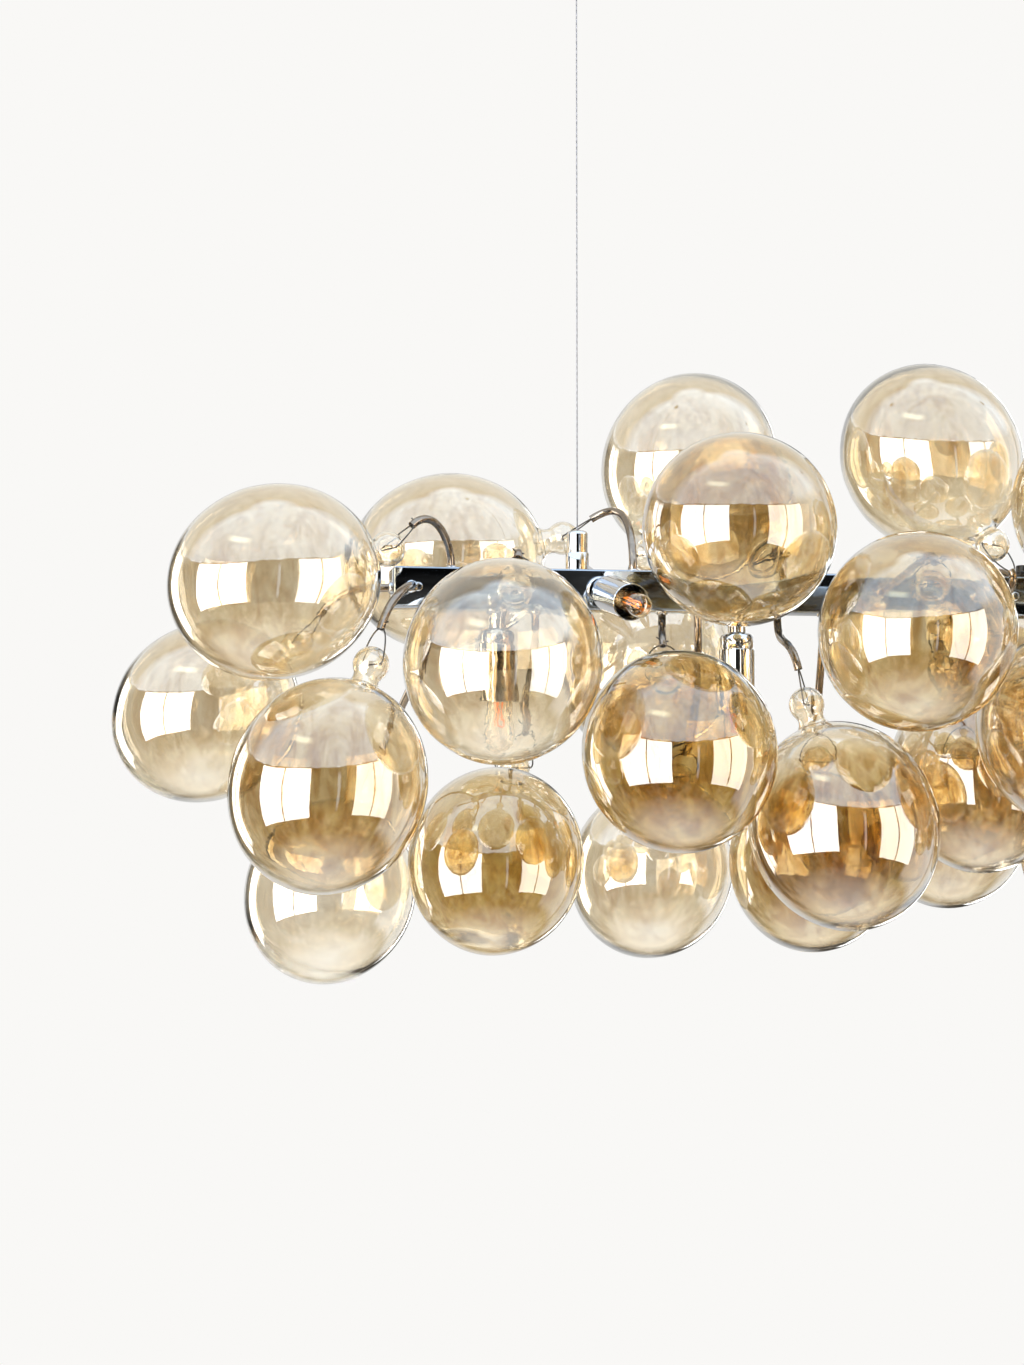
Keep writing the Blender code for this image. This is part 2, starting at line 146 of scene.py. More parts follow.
def turned(profile, sides, place=Matrix.Identity(4), shape=None, closed=False):
    """A bmesh of the (radius, height) profile turned round Z. A radius of nought closes it there, and a
    closed profile makes a ring."""
    shape = shape or bmesh.new()
    rings = []
    for radius, height in profile:
        if radius < ON_AXIS:
            rings.append([shape.verts.new(place @ Vector((0, 0, height)))])
            continue
        ring = []
        for side in range(sides):
            angle = math.tau * side / sides
            point = Vector((radius * math.cos(angle), radius * math.sin(angle), height))
            ring.append(shape.verts.new(place @ point))
        rings.append(ring)
    for lower, upper in zip(rings, rings[1:] + rings[:1] if closed else rings[1:]):
        for side in range(sides):
            after = (side + 1) % sides
            if len(lower) == len(upper) == 1:
                continue
            if len(lower) == 1:
                shape.faces.new((lower[0], upper[after], upper[side]))
            elif len(upper) == 1:
                shape.faces.new((lower[side], lower[after], upper[0]))
            else:
                shape.faces.new((lower[side], lower[after], upper[after], upper[side]))
    return shape


# Stainless steel wire rope, drawn and stranded: the strands give fine slanting bands of grey. They are
# drawn coarser than they are, to show at all.
steel, tree, shader = new_material("stainless_wire_rope", Metallic=1.0, Roughness=0.55)
spot = add_node(tree, "ShaderNodeTexCoord").outputs["Object"]
slant = {"Vector": spot, "Rotation": (STRAND_SLANT, 0, STRAND_SLANT)}
twist = add_node(tree, "ShaderNodeMapping", slant, vector_type="TEXTURE")
bands = {"Vector": twist.outputs[0], "Scale": BAND_SHARE / STRAND_PITCH}
strands = add_node(tree, "ShaderNodeTexWave", bands, bands_direction="Z")
greys = {0: strands.outputs["Fac"], 6: linear("#6C6C6E"), 7: linear("#86868A")}
shade = add_node(tree, "ShaderNodeMix", greys, data_type="RGBA")
tree.links.new(shade.outputs[2], shader.inputs["Base Color"])

for side_name, side in LEFT_AND_RIGHT:
    path = [Vector((side * WIRE_SIDE, 0, WIRE_FOOT)), Vector((side * WIRE_SIDE, 0, WIRE_TOP))]
    curve = bpy.data.curves.new(f"wire_{side_name}_rope", "CURVE")
    curve.dimensions = "3D"
    curve.bevel_depth = WIRE_D / 2
    curve.bevel_resolution = ROUNDING_STEPS
    curve.use_fill_caps = True
    spline = curve.splines.new("POLY")
    spline.points.add(1)
    for point, end in zip(spline.points, path):
        point.co = (*end, 1)
    curve.materials.append(steel)
    rope = bpy.data.objects.new(f"wire_{side_name}_rope", curve)
    objects.link(rope)
    radius = WIRE_BALL_D / 2
    arc = [math.pi * step / WIRE_BALL_RINGS for step in range(WIRE_BALL_RINGS + 1)]
    profile = [(radius * math.sin(angle), -radius * math.cos(angle)) for angle in arc]
    ball_end = turned(profile, WIRE_BALL_SIDES, Matrix.Translation(path[1]))
    end = new_piece(f"wire_{side_name}_end", ball_end, steel)
    for piece in (rope, end):
        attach(piece, "light")
        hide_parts(f"wire_{side_name}")

# Studio
# A plain pale floor and backdrop, which the camera and straight rays through the glass meet. What the
# glass and the chrome mirror is the room round them: a bluish white ceiling over dark walls with soft
# upright hangings, four tall windows, pale screens at the side and behind, and a pale ground.
FLOOR_DROP, FLOOR_D, FLOOR_CORNERS = 2.4, 9, 96
BACKDROP = "#F9F8F6"
WALL_TOP_DEGREES = 22
GROUND_FULL_DEGREES, GROUND_START_DEGREES = -52.0, -20.0
# A place at least this bright is a window, with an upright bar down its middle
WINDOW_STRENGTH = 5.0
WINDOW_BAR_DEGREES, WINDOW_EDGE_DEGREES = 0.8, 0.1
# One row a bright place, later rows over earlier ones: its middle and half width round from straight
# ahead and its middle and half height, all in degrees, its colour and strength, and its soft share.
BRIGHT_PLACES = (
    (92, 26, -6, 34, "#E9EDF3", 1.5, 0.2),
    (130, 14, -6, 34, "#EFF1F3", 1.15, 0.25),
    (180, 20, -6, 34, "#F9F8F6", 0.8, 0.3),
    (180, 80, 48, 32, "#EDEAE2", 1.1, 0.25),
    (-48, 22, 48, 4, "#F4FFFB", 4.5, 0.6),
    (8, 1.6, -2, 20, "#D6E8FF", 1.5, 0.3),
    (-57, 32, -2.5, 23, "#FFFFFF", 8.5, 0.0),
    (50, 23, -2.5, 23, "#FFFAF2", 6.0, 0.0),
    (-135, 10, -3.5, 24, "#FFFAF2", 5.0, 0.1),
    (152, 3, -3.5, 24, "#FFFFFF", 5.0, 0.2),
)
CEILING_STRENGTH, GROUND_STRENGTH = 2.6, 2.2
# The share of the cloth noise that a fold or a cloud spans, and its light at either end
FOLD_SPAN, FOLD_LIGHT = (0.42, 0.74), (0.5, 11.0)
CLOUD_SPAN, CLOUD_LIGHT = (0.35, 0.68), (0.86 * CEILING_STRENGTH, 1.1 * CEILING_STRENGTH)
# Heights in degrees and colours of the room, from straight down to straight up
ROOM_BANDS = (
    (-90, "#E6F0FC"),
    (-60, "#D6D3CC"),
    (-42, "#6F675B"),
    (-22, "#33302B"),
    (WALL_TOP_DEGREES - 1, "#171717"),
    (WALL_TOP_DEGREES, "#DDECFF"),
    (90, "#D6E9FF"),
)

world = bpy.data.worlds.new("studio_room")
world.use_nodes = True
bpy.context.scene.world = world
world.cycles.sampling_method = "NONE"
tree = world.node_tree
tree.nodes.clear()
way = add_node(tree, "ShaderNodeTexCoord").outputs["Generated"]
axes = add_node(tree, "ShaderNodeSeparateXYZ", {0: way}).outputs
rise = add_node(tree, "ShaderNodeMath", {0: axes["Z"]}, operation="ARCSINE").outputs[0]
rise = add_node(tree, "ShaderNodeMath", {0: rise}, operation="DEGREES").outputs[0]
front = add_node(tree, "ShaderNodeMath", {0: axes["Y"], 1: -1.0}, operation="MULTIPLY").outputs[0]
round_way = add_node(tree, "ShaderNodeMath", {0: axes["X"], 1: front}, operation="ARCTAN2").outputs[0]
round_way = add_node(tree, "ShaderNodeMath", {0: round_way}, operation="DEGREES").outputs[0]
height = add_node(tree, "ShaderNodeMapRange", {0: rise, 1: -90.0, 2: 90.0}).outputs[0]
bands = add_node(tree, "ShaderNodeValToRGB", {0: height})
for number, (degrees, colour) in enumerate(ROOM_BANDS):
    ramp = bands.color_ramp.elements
    stop = ramp[number] if number < 2 else ramp.new(1.0)
    stop.position = (degrees + 90) / 180
    stop.color = linear(colour)
# Hangings and moulding: soft upright bands, which the balls bend into golden streaks.
stretch = add_node(tree, "ShaderNodeMapping", {"Vector": way, "Scale": (5.0, 5.0, 0.7)}).outputs[0]
cloth = {"Vector": stretch, "Scale": 1.6, "Detail": 4.0, "Roughness": 0.6}
cloth = add_node(tree, "ShaderNodeTexNoise", cloth).outputs["Fac"]
lights = []
for span, light in ((FOLD_SPAN, FOLD_LIGHT), (CLOUD_SPAN, CLOUD_LIGHT)):
    spread = {0: cloth, 1: span[0], 2: span[1], 3: light[0], 4: light[1]}
    lights.append(add_node(tree, "ShaderNodeMapRange", spread).outputs[0])
wall_top = {0: rise, 1: float(WALL_TOP_DEGREES)}
above = add_node(tree, "ShaderNodeMath", wall_top, operation="GREATER_THAN").outputs[0]
ground = {0: rise, 1: GROUND_FULL_DEGREES, 2: GROUND_START_DEGREES, 3: 1.0, 4: 0.0}
below = add_node(tree, "ShaderNodeMapRange", ground).outputs[0]
evened = add_node(tree, "ShaderNodeMix", {0: above, 2: lights[0], 3: lights[1]}).outputs[0]
evened = add_node(tree, "ShaderNodeMix", {0: below, 2: evened, 3: GROUND_STRENGTH}).outputs[0]
shone = {0: bands.outputs[0], "Scale": evened}
room = add_node(tree, "ShaderNodeVectorMath", shone, operation="SCALE").outputs[0]
for middle, half, height_middle, half_height, colour, strength, soft in BRIGHT_PLACES:
    covers = []
    for value, centre, reach in ((round_way, middle, half), (rise, height_middle, half_height)):
        off = add_node(tree, "ShaderNodeMath", {0: value, 1: centre}, operation="SUBTRACT").outputs[0]
        if value == round_way:
            turn = {0: off, 1: -180.0, 2: 180.0}
            off = add_node(tree, "ShaderNodeMath", turn, operation="WRAP").outputs[0]
        off = add_node(tree, "ShaderNodeMath", {0: off}, operation="ABSOLUTE").outputs[0]
        inner, outer = reach * (1 - soft) - WINDOW_EDGE_DEGREES, reach + WINDOW_EDGE_DEGREES
        edge = {0: off, 1: inner, 2: outer, 3: 1.0, 4: 0.0}
        covers.append(add_node(tree, "ShaderNodeMapRange", edge).outputs[0])
        if value == round_way and strength >= WINDOW_STRENGTH:
            bar = {0: off, 1: WINDOW_BAR_DEGREES}
            covers.append(add_node(tree, "ShaderNodeMath", bar, operation="GREATER_THAN").outputs[0])
    cover = covers[0]
    for other in covers[1:]:
        cover = add_node(tree, "ShaderNodeMath", {0: cover, 1: other}, operation="MULTIPLY").outputs[0]
    glare = [strength * part for part in linear(colour)[:3]]
    laid = {0: cover, 6: room, 7: (*glare, 1)}
    room = add_node(tree, "ShaderNodeMix", laid, data_type="RGBA").outputs[2]
bounces = add_node(tree, "ShaderNodeLightPath").outputs["Glossy Depth"]
reflected = add_node(tree, "ShaderNodeMath", {0: bounces, 1: 0.5}, operation="GREATER_THAN").outputs[0]
either = {0: reflected, 6: linear(BACKDROP), 7: room}
seen = add_node(tree, "ShaderNodeMix", either, data_type="RGBA").outputs[2]
light = add_node(tree, "ShaderNodeBackground", {0: seen})
add_node(tree, "ShaderNodeOutputWorld", {0: light.outputs[0]})


def grained_material(name, grain, dark, pale, detail=3.0, haze=None, **values):
    """A material that drifts between two colours in grains of this size, and over its haze in gloss."""
    material, tree, shader = new_material(name, **values)
    spot = add_node(tree, "ShaderNodeTexCoord").outputs["Object"]
    grains = {"Vector": spot, "Scale": 1 / grain, "Detail": detail}
    grains = add_node(tree, "ShaderNodeTexNoise", grains).outputs["Fac"]
    colours = {0: grains, 6: linear(dark), 7: linear(pale)}
    shade = add_node(tree, "ShaderNodeMix", colours, name="two_colours", data_type="RGBA")
    tree.links.new(shade.outputs[2], shader.inputs["Base Color"])
    if haze:
        rough = add_node(tree, "ShaderNodeMapRange", {0: grains, 3: haze[0], 4: haze[1]})
        tree.links.new(rough.outputs[0], shader.inputs["Roughness"])
    return material


# Matt pale backdrop paint, rolled: the roller leaves a faint unevenness.
ROLLER_GRAIN = 1 / 60
floor_paint = grained_material(
    "matt_backdrop_paint", ROLLER_GRAIN, "#F7F6F4", "#FBFAF9", detail=2.0, Roughness=0.9
)
shape = bmesh.new()
drop = Matrix.Translation((0, 0, -FLOOR_DROP))
bmesh.ops.create_circle(shape, cap_ends=True, segments=FLOOR_CORNERS, radius=FLOOR_D / 2, matrix=drop)
floor = new_piece("floor", shape, floor_paint, sharp_degrees=0)
floor.visible_glossy = False
floor.visible_transmission = False

view = bpy.context.scene
view.view_settings.view_transform = "Standard"
view.cycles.max_bounces = 40
view.cycles.transmission_bounces = 40
view.cycles.glossy_bounces = 16
view.cycles.transparent_max_bounces = 16
view.cycles.sample_clamp_indirect = 18.0

# Glass balls
# Thirty-four blown balls of thin soda-lime glass with an amber lustre, each with a hollow knob on a
# short neck and two eyes through the knob for the hook wire. Blown by hand, so no two walls are alike.
BALL_SIZES = {False: (0.138, 0.154), True: (0.132, 0.147)}
GLASS_WALL = 0.0018
FOOT_WALL = 0.0042
KNOB_D, KNOB_NECK_D, KNOB_RISE = 0.026, 0.0165, 0.015
EYE_D, EYE_SIDES = 0.0028, 16
BALL_SIDES, BODY_RINGS, KNOB_RINGS, NECK_RINGS = 64, 40, 16, 5
BODY_TOP_DEGREES, KNOB_FOOT_DEGREES = 10, 128
BLOWN_UNEVEN, WALL_UNEVEN = 0.0007, 0.00012
WAVE_SIZE = 0.019
# The lustre's clouds, its runs and the cords in the glass are about this far apart
CLOUD_SIZE, RUN_SIZE, CORD_SIZE = 0.045, 0.018, 0.012
RUN_SPAN = (0.47, 0.64)
LUSTRE_DRIFT = 0.35
LUSTRE_RISE = 0.05
# How far the glass turns from the eye while the deep tint thins out, and while the rim darkens
MIDDLE_FADE, RIM_FADE = (0.24, 0.5), (0.8, 0.95)

# Soda-lime glass, blown and coated with a thin lustre: clear amber by transmission, with a
# half-mirror gloss from the lustre, and faint cords of thicker glass that bend what shows through.
amber, tree, shader = new_material(
    "amber_lustre_glass",
    Metallic=0.03,
    Roughness=0.0,
    IOR=1.5,
    Transmission_Weight=1.0,
    Coat_Roughness=0.0,
    Coat_IOR=1.75,
)
spot = add_node(tree, "ShaderNodeTexCoord").outputs["Object"]
inner_face = add_node(tree, "ShaderNodeAttribute", attribute_name="inside").outputs["Fac"]
from_behind = add_node(tree, "ShaderNodeNewGeometry").outputs["Backfacing"]
bare = add_node(tree, "ShaderNodeMath", {0: inner_face, 1: from_behind}, operation="MAXIMUM").outputs[0]
coated_face = add_node(tree, "ShaderNodeMath", {0: 1.0, 1: bare}, operation="SUBTRACT").outputs[0]
tree.links.new(coated_face, shader.inputs["Coat Weight"])

lustre = add_node(tree, "ShaderNodeAttribute", attribute_name="lustre").outputs["Fac"]
clouds = {"Vector": spot, "Scale": 1 / CLOUD_SIZE, "Detail": 3.0, "Distortion": 1.2}
clouds = add_node(tree, "ShaderNodeTexNoise", clouds).outputs["Fac"]
drift = {0: clouds, 3: -LUSTRE_DRIFT, 4: LUSTRE_DRIFT}
drift = add_node(tree, "ShaderNodeMapRange", drift).outputs[0]
drifted = {0: lustre, 1: drift}
depth = add_node(tree, "ShaderNodeMath", drifted, operation="ADD", use_clamp=True).outputs[0]
drawn_out = add_node(tree, "ShaderNodeMapping", {"Vector": spot, "Scale": (1.0, 1.0, 0.35)}).outputs[0]
runs = {"Vector": drawn_out, "Scale": 1 / RUN_SIZE, "Detail": 3.0, "Distortion": 1.5}
runs = add_node(tree, "ShaderNodeTexNoise", runs).outputs["Fac"]
thick = add_node(tree, "ShaderNodeMapRange", {0: runs, 1: RUN_SPAN[0], 2: RUN_SPAN[1]}).outputs[0]
thick = {0: thick, 1: lustre}
thick = add_node(tree, "ShaderNodeMath", thick, operation="MULTIPLY", use_clamp=True).outputs[0]
facing = add_node(tree, "ShaderNodeLayerWeight", {"Blend": 0.5}).outputs["Facing"]
fades = []
for start, end in (MIDDLE_FADE, RIM_FADE):
    fades.append(add_node(tree, "ShaderNodeMapRange", {0: facing, 1: start, 2: end}).outputs[0])
# From pale glass through the lustre's depth, its thick runs and the sloping sides to the rim
tint = linear("#F6F0E4")
shares = (depth, thick, *fades)
for share, colour in zip(shares, ("#D3BC83", "#B68E42", "#F6EFDF", "#957947")):
    laid = {0: share, 6: tint, 7: linear(colour)}
    tint = add_node(tree, "ShaderNodeMix", laid, data_type="RGBA").outputs[2]
tree.links.new(tint, shader.inputs["Base Color"])

cords = {"Vector": drawn_out, "Scale": 1 / CORD_SIZE, "Detail": 2.5, "Distortion": 0.8}
cords = add_node(tree, "ShaderNodeTexNoise", cords).outputs["Fac"]
bump = add_node(tree, "ShaderNodeBump", {"Strength": 0.15, "Distance": 0.0005, "Height": cords})
tree.links.new(bump.outputs[0], shader.inputs["Normal"])


def ball_outline(diameter, length, wall, foot_wall):
    """The profile from the ball's far end up to the top of its knob, drawn in by the wall."""
    middle = -(length / 2 + KNOB_RISE)
    knob = KNOB_D / 2 - wall
    points = []
    for ring in range(BODY_RINGS + 1):
        part = ring / BODY_RINGS
        angle = math.pi - (math.pi - math.radians(BODY_TOP_DEGREES)) * part
        inset = wall + (foot_wall - wall) * max(0.0, -math.cos(angle)) ** 4
        across, along = diameter / 2 - wall, length / 2 - inset
        points.append((max(0.0, across * math.sin(angle)), middle + along * math.cos(angle)))
    foot = math.radians(KNOB_FOOT_DEGREES)
    low, high = Vector(points[-1]), Vector((knob * math.sin(foot), knob * math.cos(foot)))
    waist = Vector((KNOB_NECK_D / 2 - wall, (low.y + high.y) / 2))
    for ring in range(1, NECK_RINGS + 1):
        part = ring / (NECK_RINGS + 1)
        curved = low * (1 - part) ** 2 + waist * 2 * part * (1 - part) + high * part**2
        points.append((curved.x, curved.y))
    for ring in range(KNOB_RINGS + 1):
        angle = foot * (1 - ring / KNOB_RINGS)
        points.append((max(0.0, knob * math.sin(angle)), knob * math.cos(angle)))
    return points


def blown_master(small):
    """One ball with its knob centre at the origin and its neck along Z, with both eyes cut."""
    diameter, length = BALL_SIZES[small]
    shape = turned(ball_outline(diameter, length, 0, 0), BALL_SIDES)
    outer = len(shape.verts)
    turned(ball_outline(diameter, length, GLASS_WALL, FOOT_WALL)[::-1], BALL_SIDES, shape=shape)
    inside = shape.verts.layers.float.new("inside")
    for number, vert in enumerate(shape.verts):
        vert[inside] = float(number >= outer)
    master = bpy.data.meshes.new("ball_master")
    shape.to_mesh(master)
    shape.free()
    ball = bpy.data.objects.new("ball_master", master)
    drill_shape = bmesh.new()
    bmesh.ops.create_cone(
        drill_shape,
        cap_ends=True,
        segments=EYE_SIDES,
        radius1=EYE_D / 2,
        radius2=EYE_D / 2,
        depth=2 * KNOB_D,
        matrix=Matrix.Rotation(math.pi / 2, 4, "Y"),
    )
    drill_mesh = bpy.data.meshes.new("eye_drill")
    drill_shape.to_mesh(drill_mesh)
    drill_shape.free()
    drill = bpy.data.objects.new("eye_drill", drill_mesh)
    for helper in (ball, drill):
        objects.link(helper)
    cut = ball.modifiers.new("eyes", "BOOLEAN")
    cut.object = drill
    cut.solver = "EXACT"
    graph = bpy.context.evaluated_depsgraph_get()
    finished = bpy.data.meshes.new_from_object(ball.evaluated_get(graph))
    for helper in (ball, drill):
        bpy.data.objects.remove(helper)
    return finished


def ball_frame(name):
    """Where a ball hangs: its knob's centre, its hinge line as X and its neck's way as Z."""
    body = f"ball_{name[-2:]}"
    joint = next(joint for joint in frame["joints"] if joint["child"] == body)
    knob, hinge = Vector(joint["pos_m"]), Vector(joint["axis"]).normalized()
    points = [vert.co for vert in frame["nodes"][name].data.vertices]
    middle = sum(points, Vector()) / len(points)
    neck = knob - middle
    neck = (neck - hinge * neck.dot(hinge)).normalized()
    turn = Matrix((hinge, neck.cross(hinge), neck)).transposed()
    return Matrix.Translation(knob) @ turn.to_4x4()


def reach_of(name):
    """How far the ball's solid reaches from its knob."""
    knob = ball_frame(name).translation
    return max((vert.co - knob).length for vert in frame["nodes"][name].data.vertices)


# How deep the lustre is on each ball of the left half and the middle, from pale to gold
LUSTRES = (
    0.35, 0.3, 0.3, 0.3, 0.65, 0.9, 0.1, 1.0, 0.25, 0.8, 0.75,
    0.3, 0.7, 0.8, 0.3, 0.4, 0.6, 0.5, 0.6, 0.6, 0.6, 0.5,
)
# How far the inner wall rises at the foot of these balls, where the gather left thick clear glass
THICK_FEET = {2: 0.003, 6: 0.012, 7: 0.005, 10: 0.005}
LARGE_REACH = (BALL_SIZES[False][1] + BALL_SIZES[True][1]) / 2 + KNOB_RISE
BALL_SHARP_DEGREES = 60
masters = {small: blown_master(small) for small in (False, True)}
ball_names = sorted(name for name in frame["nodes"] if name.startswith("globe_"))
for number, name in enumerate(ball_names, 1):
    small = reach_of(name) < LARGE_REACH
    diameter, length = BALL_SIZES[small]
    centre = Vector((0, 0, -(length / 2 + KNOB_RISE)))
    row = (number - 1) % len(LUSTRES)
    mesh = masters[small].copy()
    inside = mesh.attributes["inside"].data
    seed = Vector((number * 7.3, number * 3.1, number * 5.7))
    for place, vert in enumerate(mesh.vertices):
        under = -vert.co.z - KNOB_RISE / 2
        if under < 0:
            continue
        out = (vert.co - centre).normalized()
        push = -abs(BLOWN_UNEVEN * noise.noise(out * 1.3 + seed))
        if inside[place].value > 0.5:
            push += WALL_UNEVEN * noise.noise(out * (diameter / 2 / WAVE_SIZE) + seed * 2)
            gather = 1 + 0.5 * noise.noise(out * 2 + seed)
            vert.co.z += gather * THICK_FEET.get(row + 1, 0) * max(0.0, -out.z) ** 3
        vert.co += out * push * min(1.0, under / KNOB_RISE)
    shares = [(-vert.co.z - KNOB_RISE) / LUSTRE_RISE for vert in mesh.vertices]
    depths = [LUSTRES[row] * min(1.0, max(0.0, share)) for share in shares]
    mesh.attributes.new("lustre", "FLOAT", "POINT").data.foreach_set("value", depths)
    mesh.transform(ball_frame(name))
    ball = new_piece(f"glass_ball_{number:02d}", mesh, amber, BALL_SHARP_DEGREES)
    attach(ball, f"ball_{number:02d}")
    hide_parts(name)

# Bar
# A box tube of chrome-plated steel, 30 mm square with softly rounded edges and closed ends, that
# carries everything. Small recessed screws in its front and back hold its end plates and insides.
BAR_LENGTH, BAR_SIDE = 0.890, 0.030
BAR_ROUND, BAR_ROUND_STEPS = 0.0014, 4
BAR_CENTRE = Vector((0, 0, -0.480))
SCREW_D, SCREW_RISE, SLOT_D, SCREW_SIDES = 0.0065, 0.0006, 0.0030, 24
SCREW_STATIONS = (-0.427, -0.155, 0.034, 0.427)
CHROME_GRAIN, CHROME_WAVE = 0.006, 0.020

# Chrome plate on polished steel: a clear dark mirror, with the faint long waves of the rolled tube.
chrome = grained_material(
    "polished_chrome_plate", CHROME_GRAIN, "#B9BABD", "#C6C7C9", 4.0, haze=(0.025, 0.075), Metallic=1.0
)
tree = chrome.node_tree
spot = add_node(tree, "ShaderNodeTexCoord").outputs["Object"]
waves = {"Vector": spot, "Scale": 1 / CHROME_WAVE, "Detail": 1.0}
waves = add_node(tree, "ShaderNodeTexNoise", waves).outputs["Fac"]
bump = add_node(tree, "ShaderNodeBump", {"Strength": 0.12, "Distance": 0.0004, "Height": waves})
tree.links.new(bump.outputs[0], tree.nodes["Principled BSDF"].inputs["Normal"])


def new_tree(name, *inputs):
    """A Geometry Nodes tree with these named inputs, and its input sockets."""
    tree = bpy.data.node_groups.new(name, "GeometryNodeTree")
    tree.interface.new_socket("Shape", in_out="INPUT", socket_type="NodeSocketGeometry")
    for label, kind in inputs:
        tree.interface.new_socket(label, in_out="INPUT", socket_type=kind)
    tree.interface.new_socket("Shape", in_out="OUTPUT", socket_type="NodeSocketGeometry")
    return tree, add_node(tree, "NodeGroupInput").outputs


def end_tree(tree, shape, finish):
    """Closes a tree: the shape made real, with its material."""
    plain = add_node(tree, "GeometryNodeRealizeInstances", {0: shape})
    coated = {"Geometry": plain.outputs[0], "Material": finish}
    coated = add_node(tree, "GeometryNodeSetMaterial", coated)
    add_node(tree, "NodeGroupOutput", {0: coated.outputs[0]})


def grown_piece(name, mesh, tree, material, thickness=0, **values):
    """The mesh run through a tree with these input values, and a wall's thickness, as a plain piece."""
    seed = bpy.data.objects.new(name + "_seed", mesh)
    objects.link(seed)
    grow = seed.modifiers.new("grow", "NODES")
    grow.node_group = tree
    for item in tree.interface.items_tree:
        if item.in_out == "INPUT" and item.name in values:
            grow[item.identifier] = values[item.name]
        elif item.in_out == "INPUT" and item.name == "Finish":
            grow[item.identifier] = material
    if thickness:
        wall = seed.modifiers.new("wall", "SOLIDIFY")
        wall.thickness = thickness
        wall.offset = -1
    shape = bmesh.new()
    graph = bpy.context.evaluated_depsgraph_get()
    grown = bpy.data.meshes.new_from_object(seed.evaluated_get(graph))
    shape.from_mesh(grown)
    bpy.data.meshes.remove(grown)
    bpy.data.objects.remove(seed)
    return new_piece(name, shape, material)


# Small parts of one kind, such as screws, set on points and turned to each point's way.
part_inputs = (("Part", "NodeSocketObject"), ("Finish", "NodeSocketMaterial"))
parts_tree, given = new_tree("set_on_points", *part_inputs)
part = add_node(parts_tree, "GeometryNodeObjectInfo", {"Object": given["Part"]})
seat_way = add_node(
    parts_tree, "GeometryNodeInputNamedAttribute", {"Name": "way"}, data_type="FLOAT_VECTOR"
)
aim = add_node(parts_tree, "FunctionNodeAlignEulerToVector", {"Vector": seat_way.outputs[0]}, axis="Z")
seats = add_node(parts_tree, "GeometryNodeMeshToPoints", {"Mesh": given["Shape"]})
placed = {"Points": seats.outputs[0], "Instance": part.outputs["Geometry"], "Rotation": aim.outputs[0]}
placed = add_node(parts_tree, "GeometryNodeInstanceOnPoints", placed)
end_tree(parts_tree, placed.outputs[0], given["Finish"])


def set_parts(name, shape, seats, material, nodes=("bar_frame",)):
    """One piece of many like parts, made from one shape and set on the (place, way) seats."""
    points = bpy.data.meshes.new(name + "_points")
    points.from_pydata([place for place, _ in seats], [], [])
    ways = points.attributes.new("way", "FLOAT_VECTOR", "POINT")
    for held, (_, way) in zip(ways.data, seats):
        held.vector = way
    mesh = bpy.data.meshes.new(name + "_part")
    shape.to_mesh(mesh)
    shape.free()
    pattern = bpy.data.objects.new(name + "_part", mesh)
    piece = grown_piece(name, points, parts_tree, material, Part=pattern)
    bpy.data.objects.remove(pattern)
    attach(piece, "light")
    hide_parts(*nodes)


shape = bmesh.new()
sides = Matrix.Diagonal((BAR_LENGTH, BAR_SIDE, BAR_SIDE, 1))
bmesh.ops.create_cube(shape, size=1, matrix=Matrix.Translation(BAR_CENTRE) @ sides)
rounding = {"offset": BAR_ROUND, "segments": BAR_ROUND_STEPS, "profile": 0.5, "affect": "EDGES"}
bmesh.ops.bevel(shape, geom=shape.edges[:], **rounding)
# The same plate over the tube's plain rolled sides, with a painted reflection: its colours are darkened
# to slate blue, standing in for the dark of the room mirrored in the sides.
chrome_with_painted_reflection = chrome.copy()
chrome_with_painted_reflection.name = "slate_chrome_plate"
painted_reflection_colours = chrome_with_painted_reflection.node_tree.nodes["two_colours"].inputs
# Painted reflection: the plate's two colours are turned dark slate blue.
painted_reflection_colours[6].default_value, painted_reflection_colours[7].default_value = linear("#8D959E"), linear("#9BA3AC")
bar = new_piece("bar_tube", shape, chrome_with_painted_reflection)
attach(bar, "light")
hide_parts("bar_frame")

head_profile = [
    (0, -0.0004),
    (SLOT_D / 2, -0.0004),
    (SLOT_D / 2 + 0.0002, SCREW_RISE * 0.8),
    (SCREW_D / 2 - 0.0006, SCREW_RISE),
    (SCREW_D / 2, SCREW_RISE * 0.4),
    (SCREW_D / 2 + 0.0003, -0.0003),
    (0, -0.0006),
]
seats = [
    (BAR_CENTRE + Vector((station * side, -side * BAR_SIDE / 2, 0)), Vector((0, -side, 0)))
    for station in SCREW_STATIONS
    for side in (1, -1)
]
set_parts("bar_screws", turned(head_profile, SCREW_SIDES), seats, chrome)

# Arms
# Thirty-four bent tubes, 6 mm thick and open at the tip, brazed into the bar with a small ferrule.
# Each leaves its face of the bar squarely and bends round until it points at the knob of its ball.
ARM_D, ARM_WALL, ARM_SINK, ARM_BEND_SHARE = 0.006, 0.0008, 0.0030, 0.4
ARM_STEPS, ARM_SIDES = 22, 20
FERRULE_D, FERRULE_RISE, FERRULE_SIDES = 0.0092, 0.0022, 24
HOOK_HEIGHT, HOOK_GRIP = 0.028, 0.0015
LARGE_BALL = BALL_SIZES[False][0]
TUBE_GRAIN = 0.004
FACES = {"top": (0, 0, 1), "under": (0, 0, -1), "front": (0, -1, 0), "back": (0, 1, 0), "end": (-1, 0, 0)}
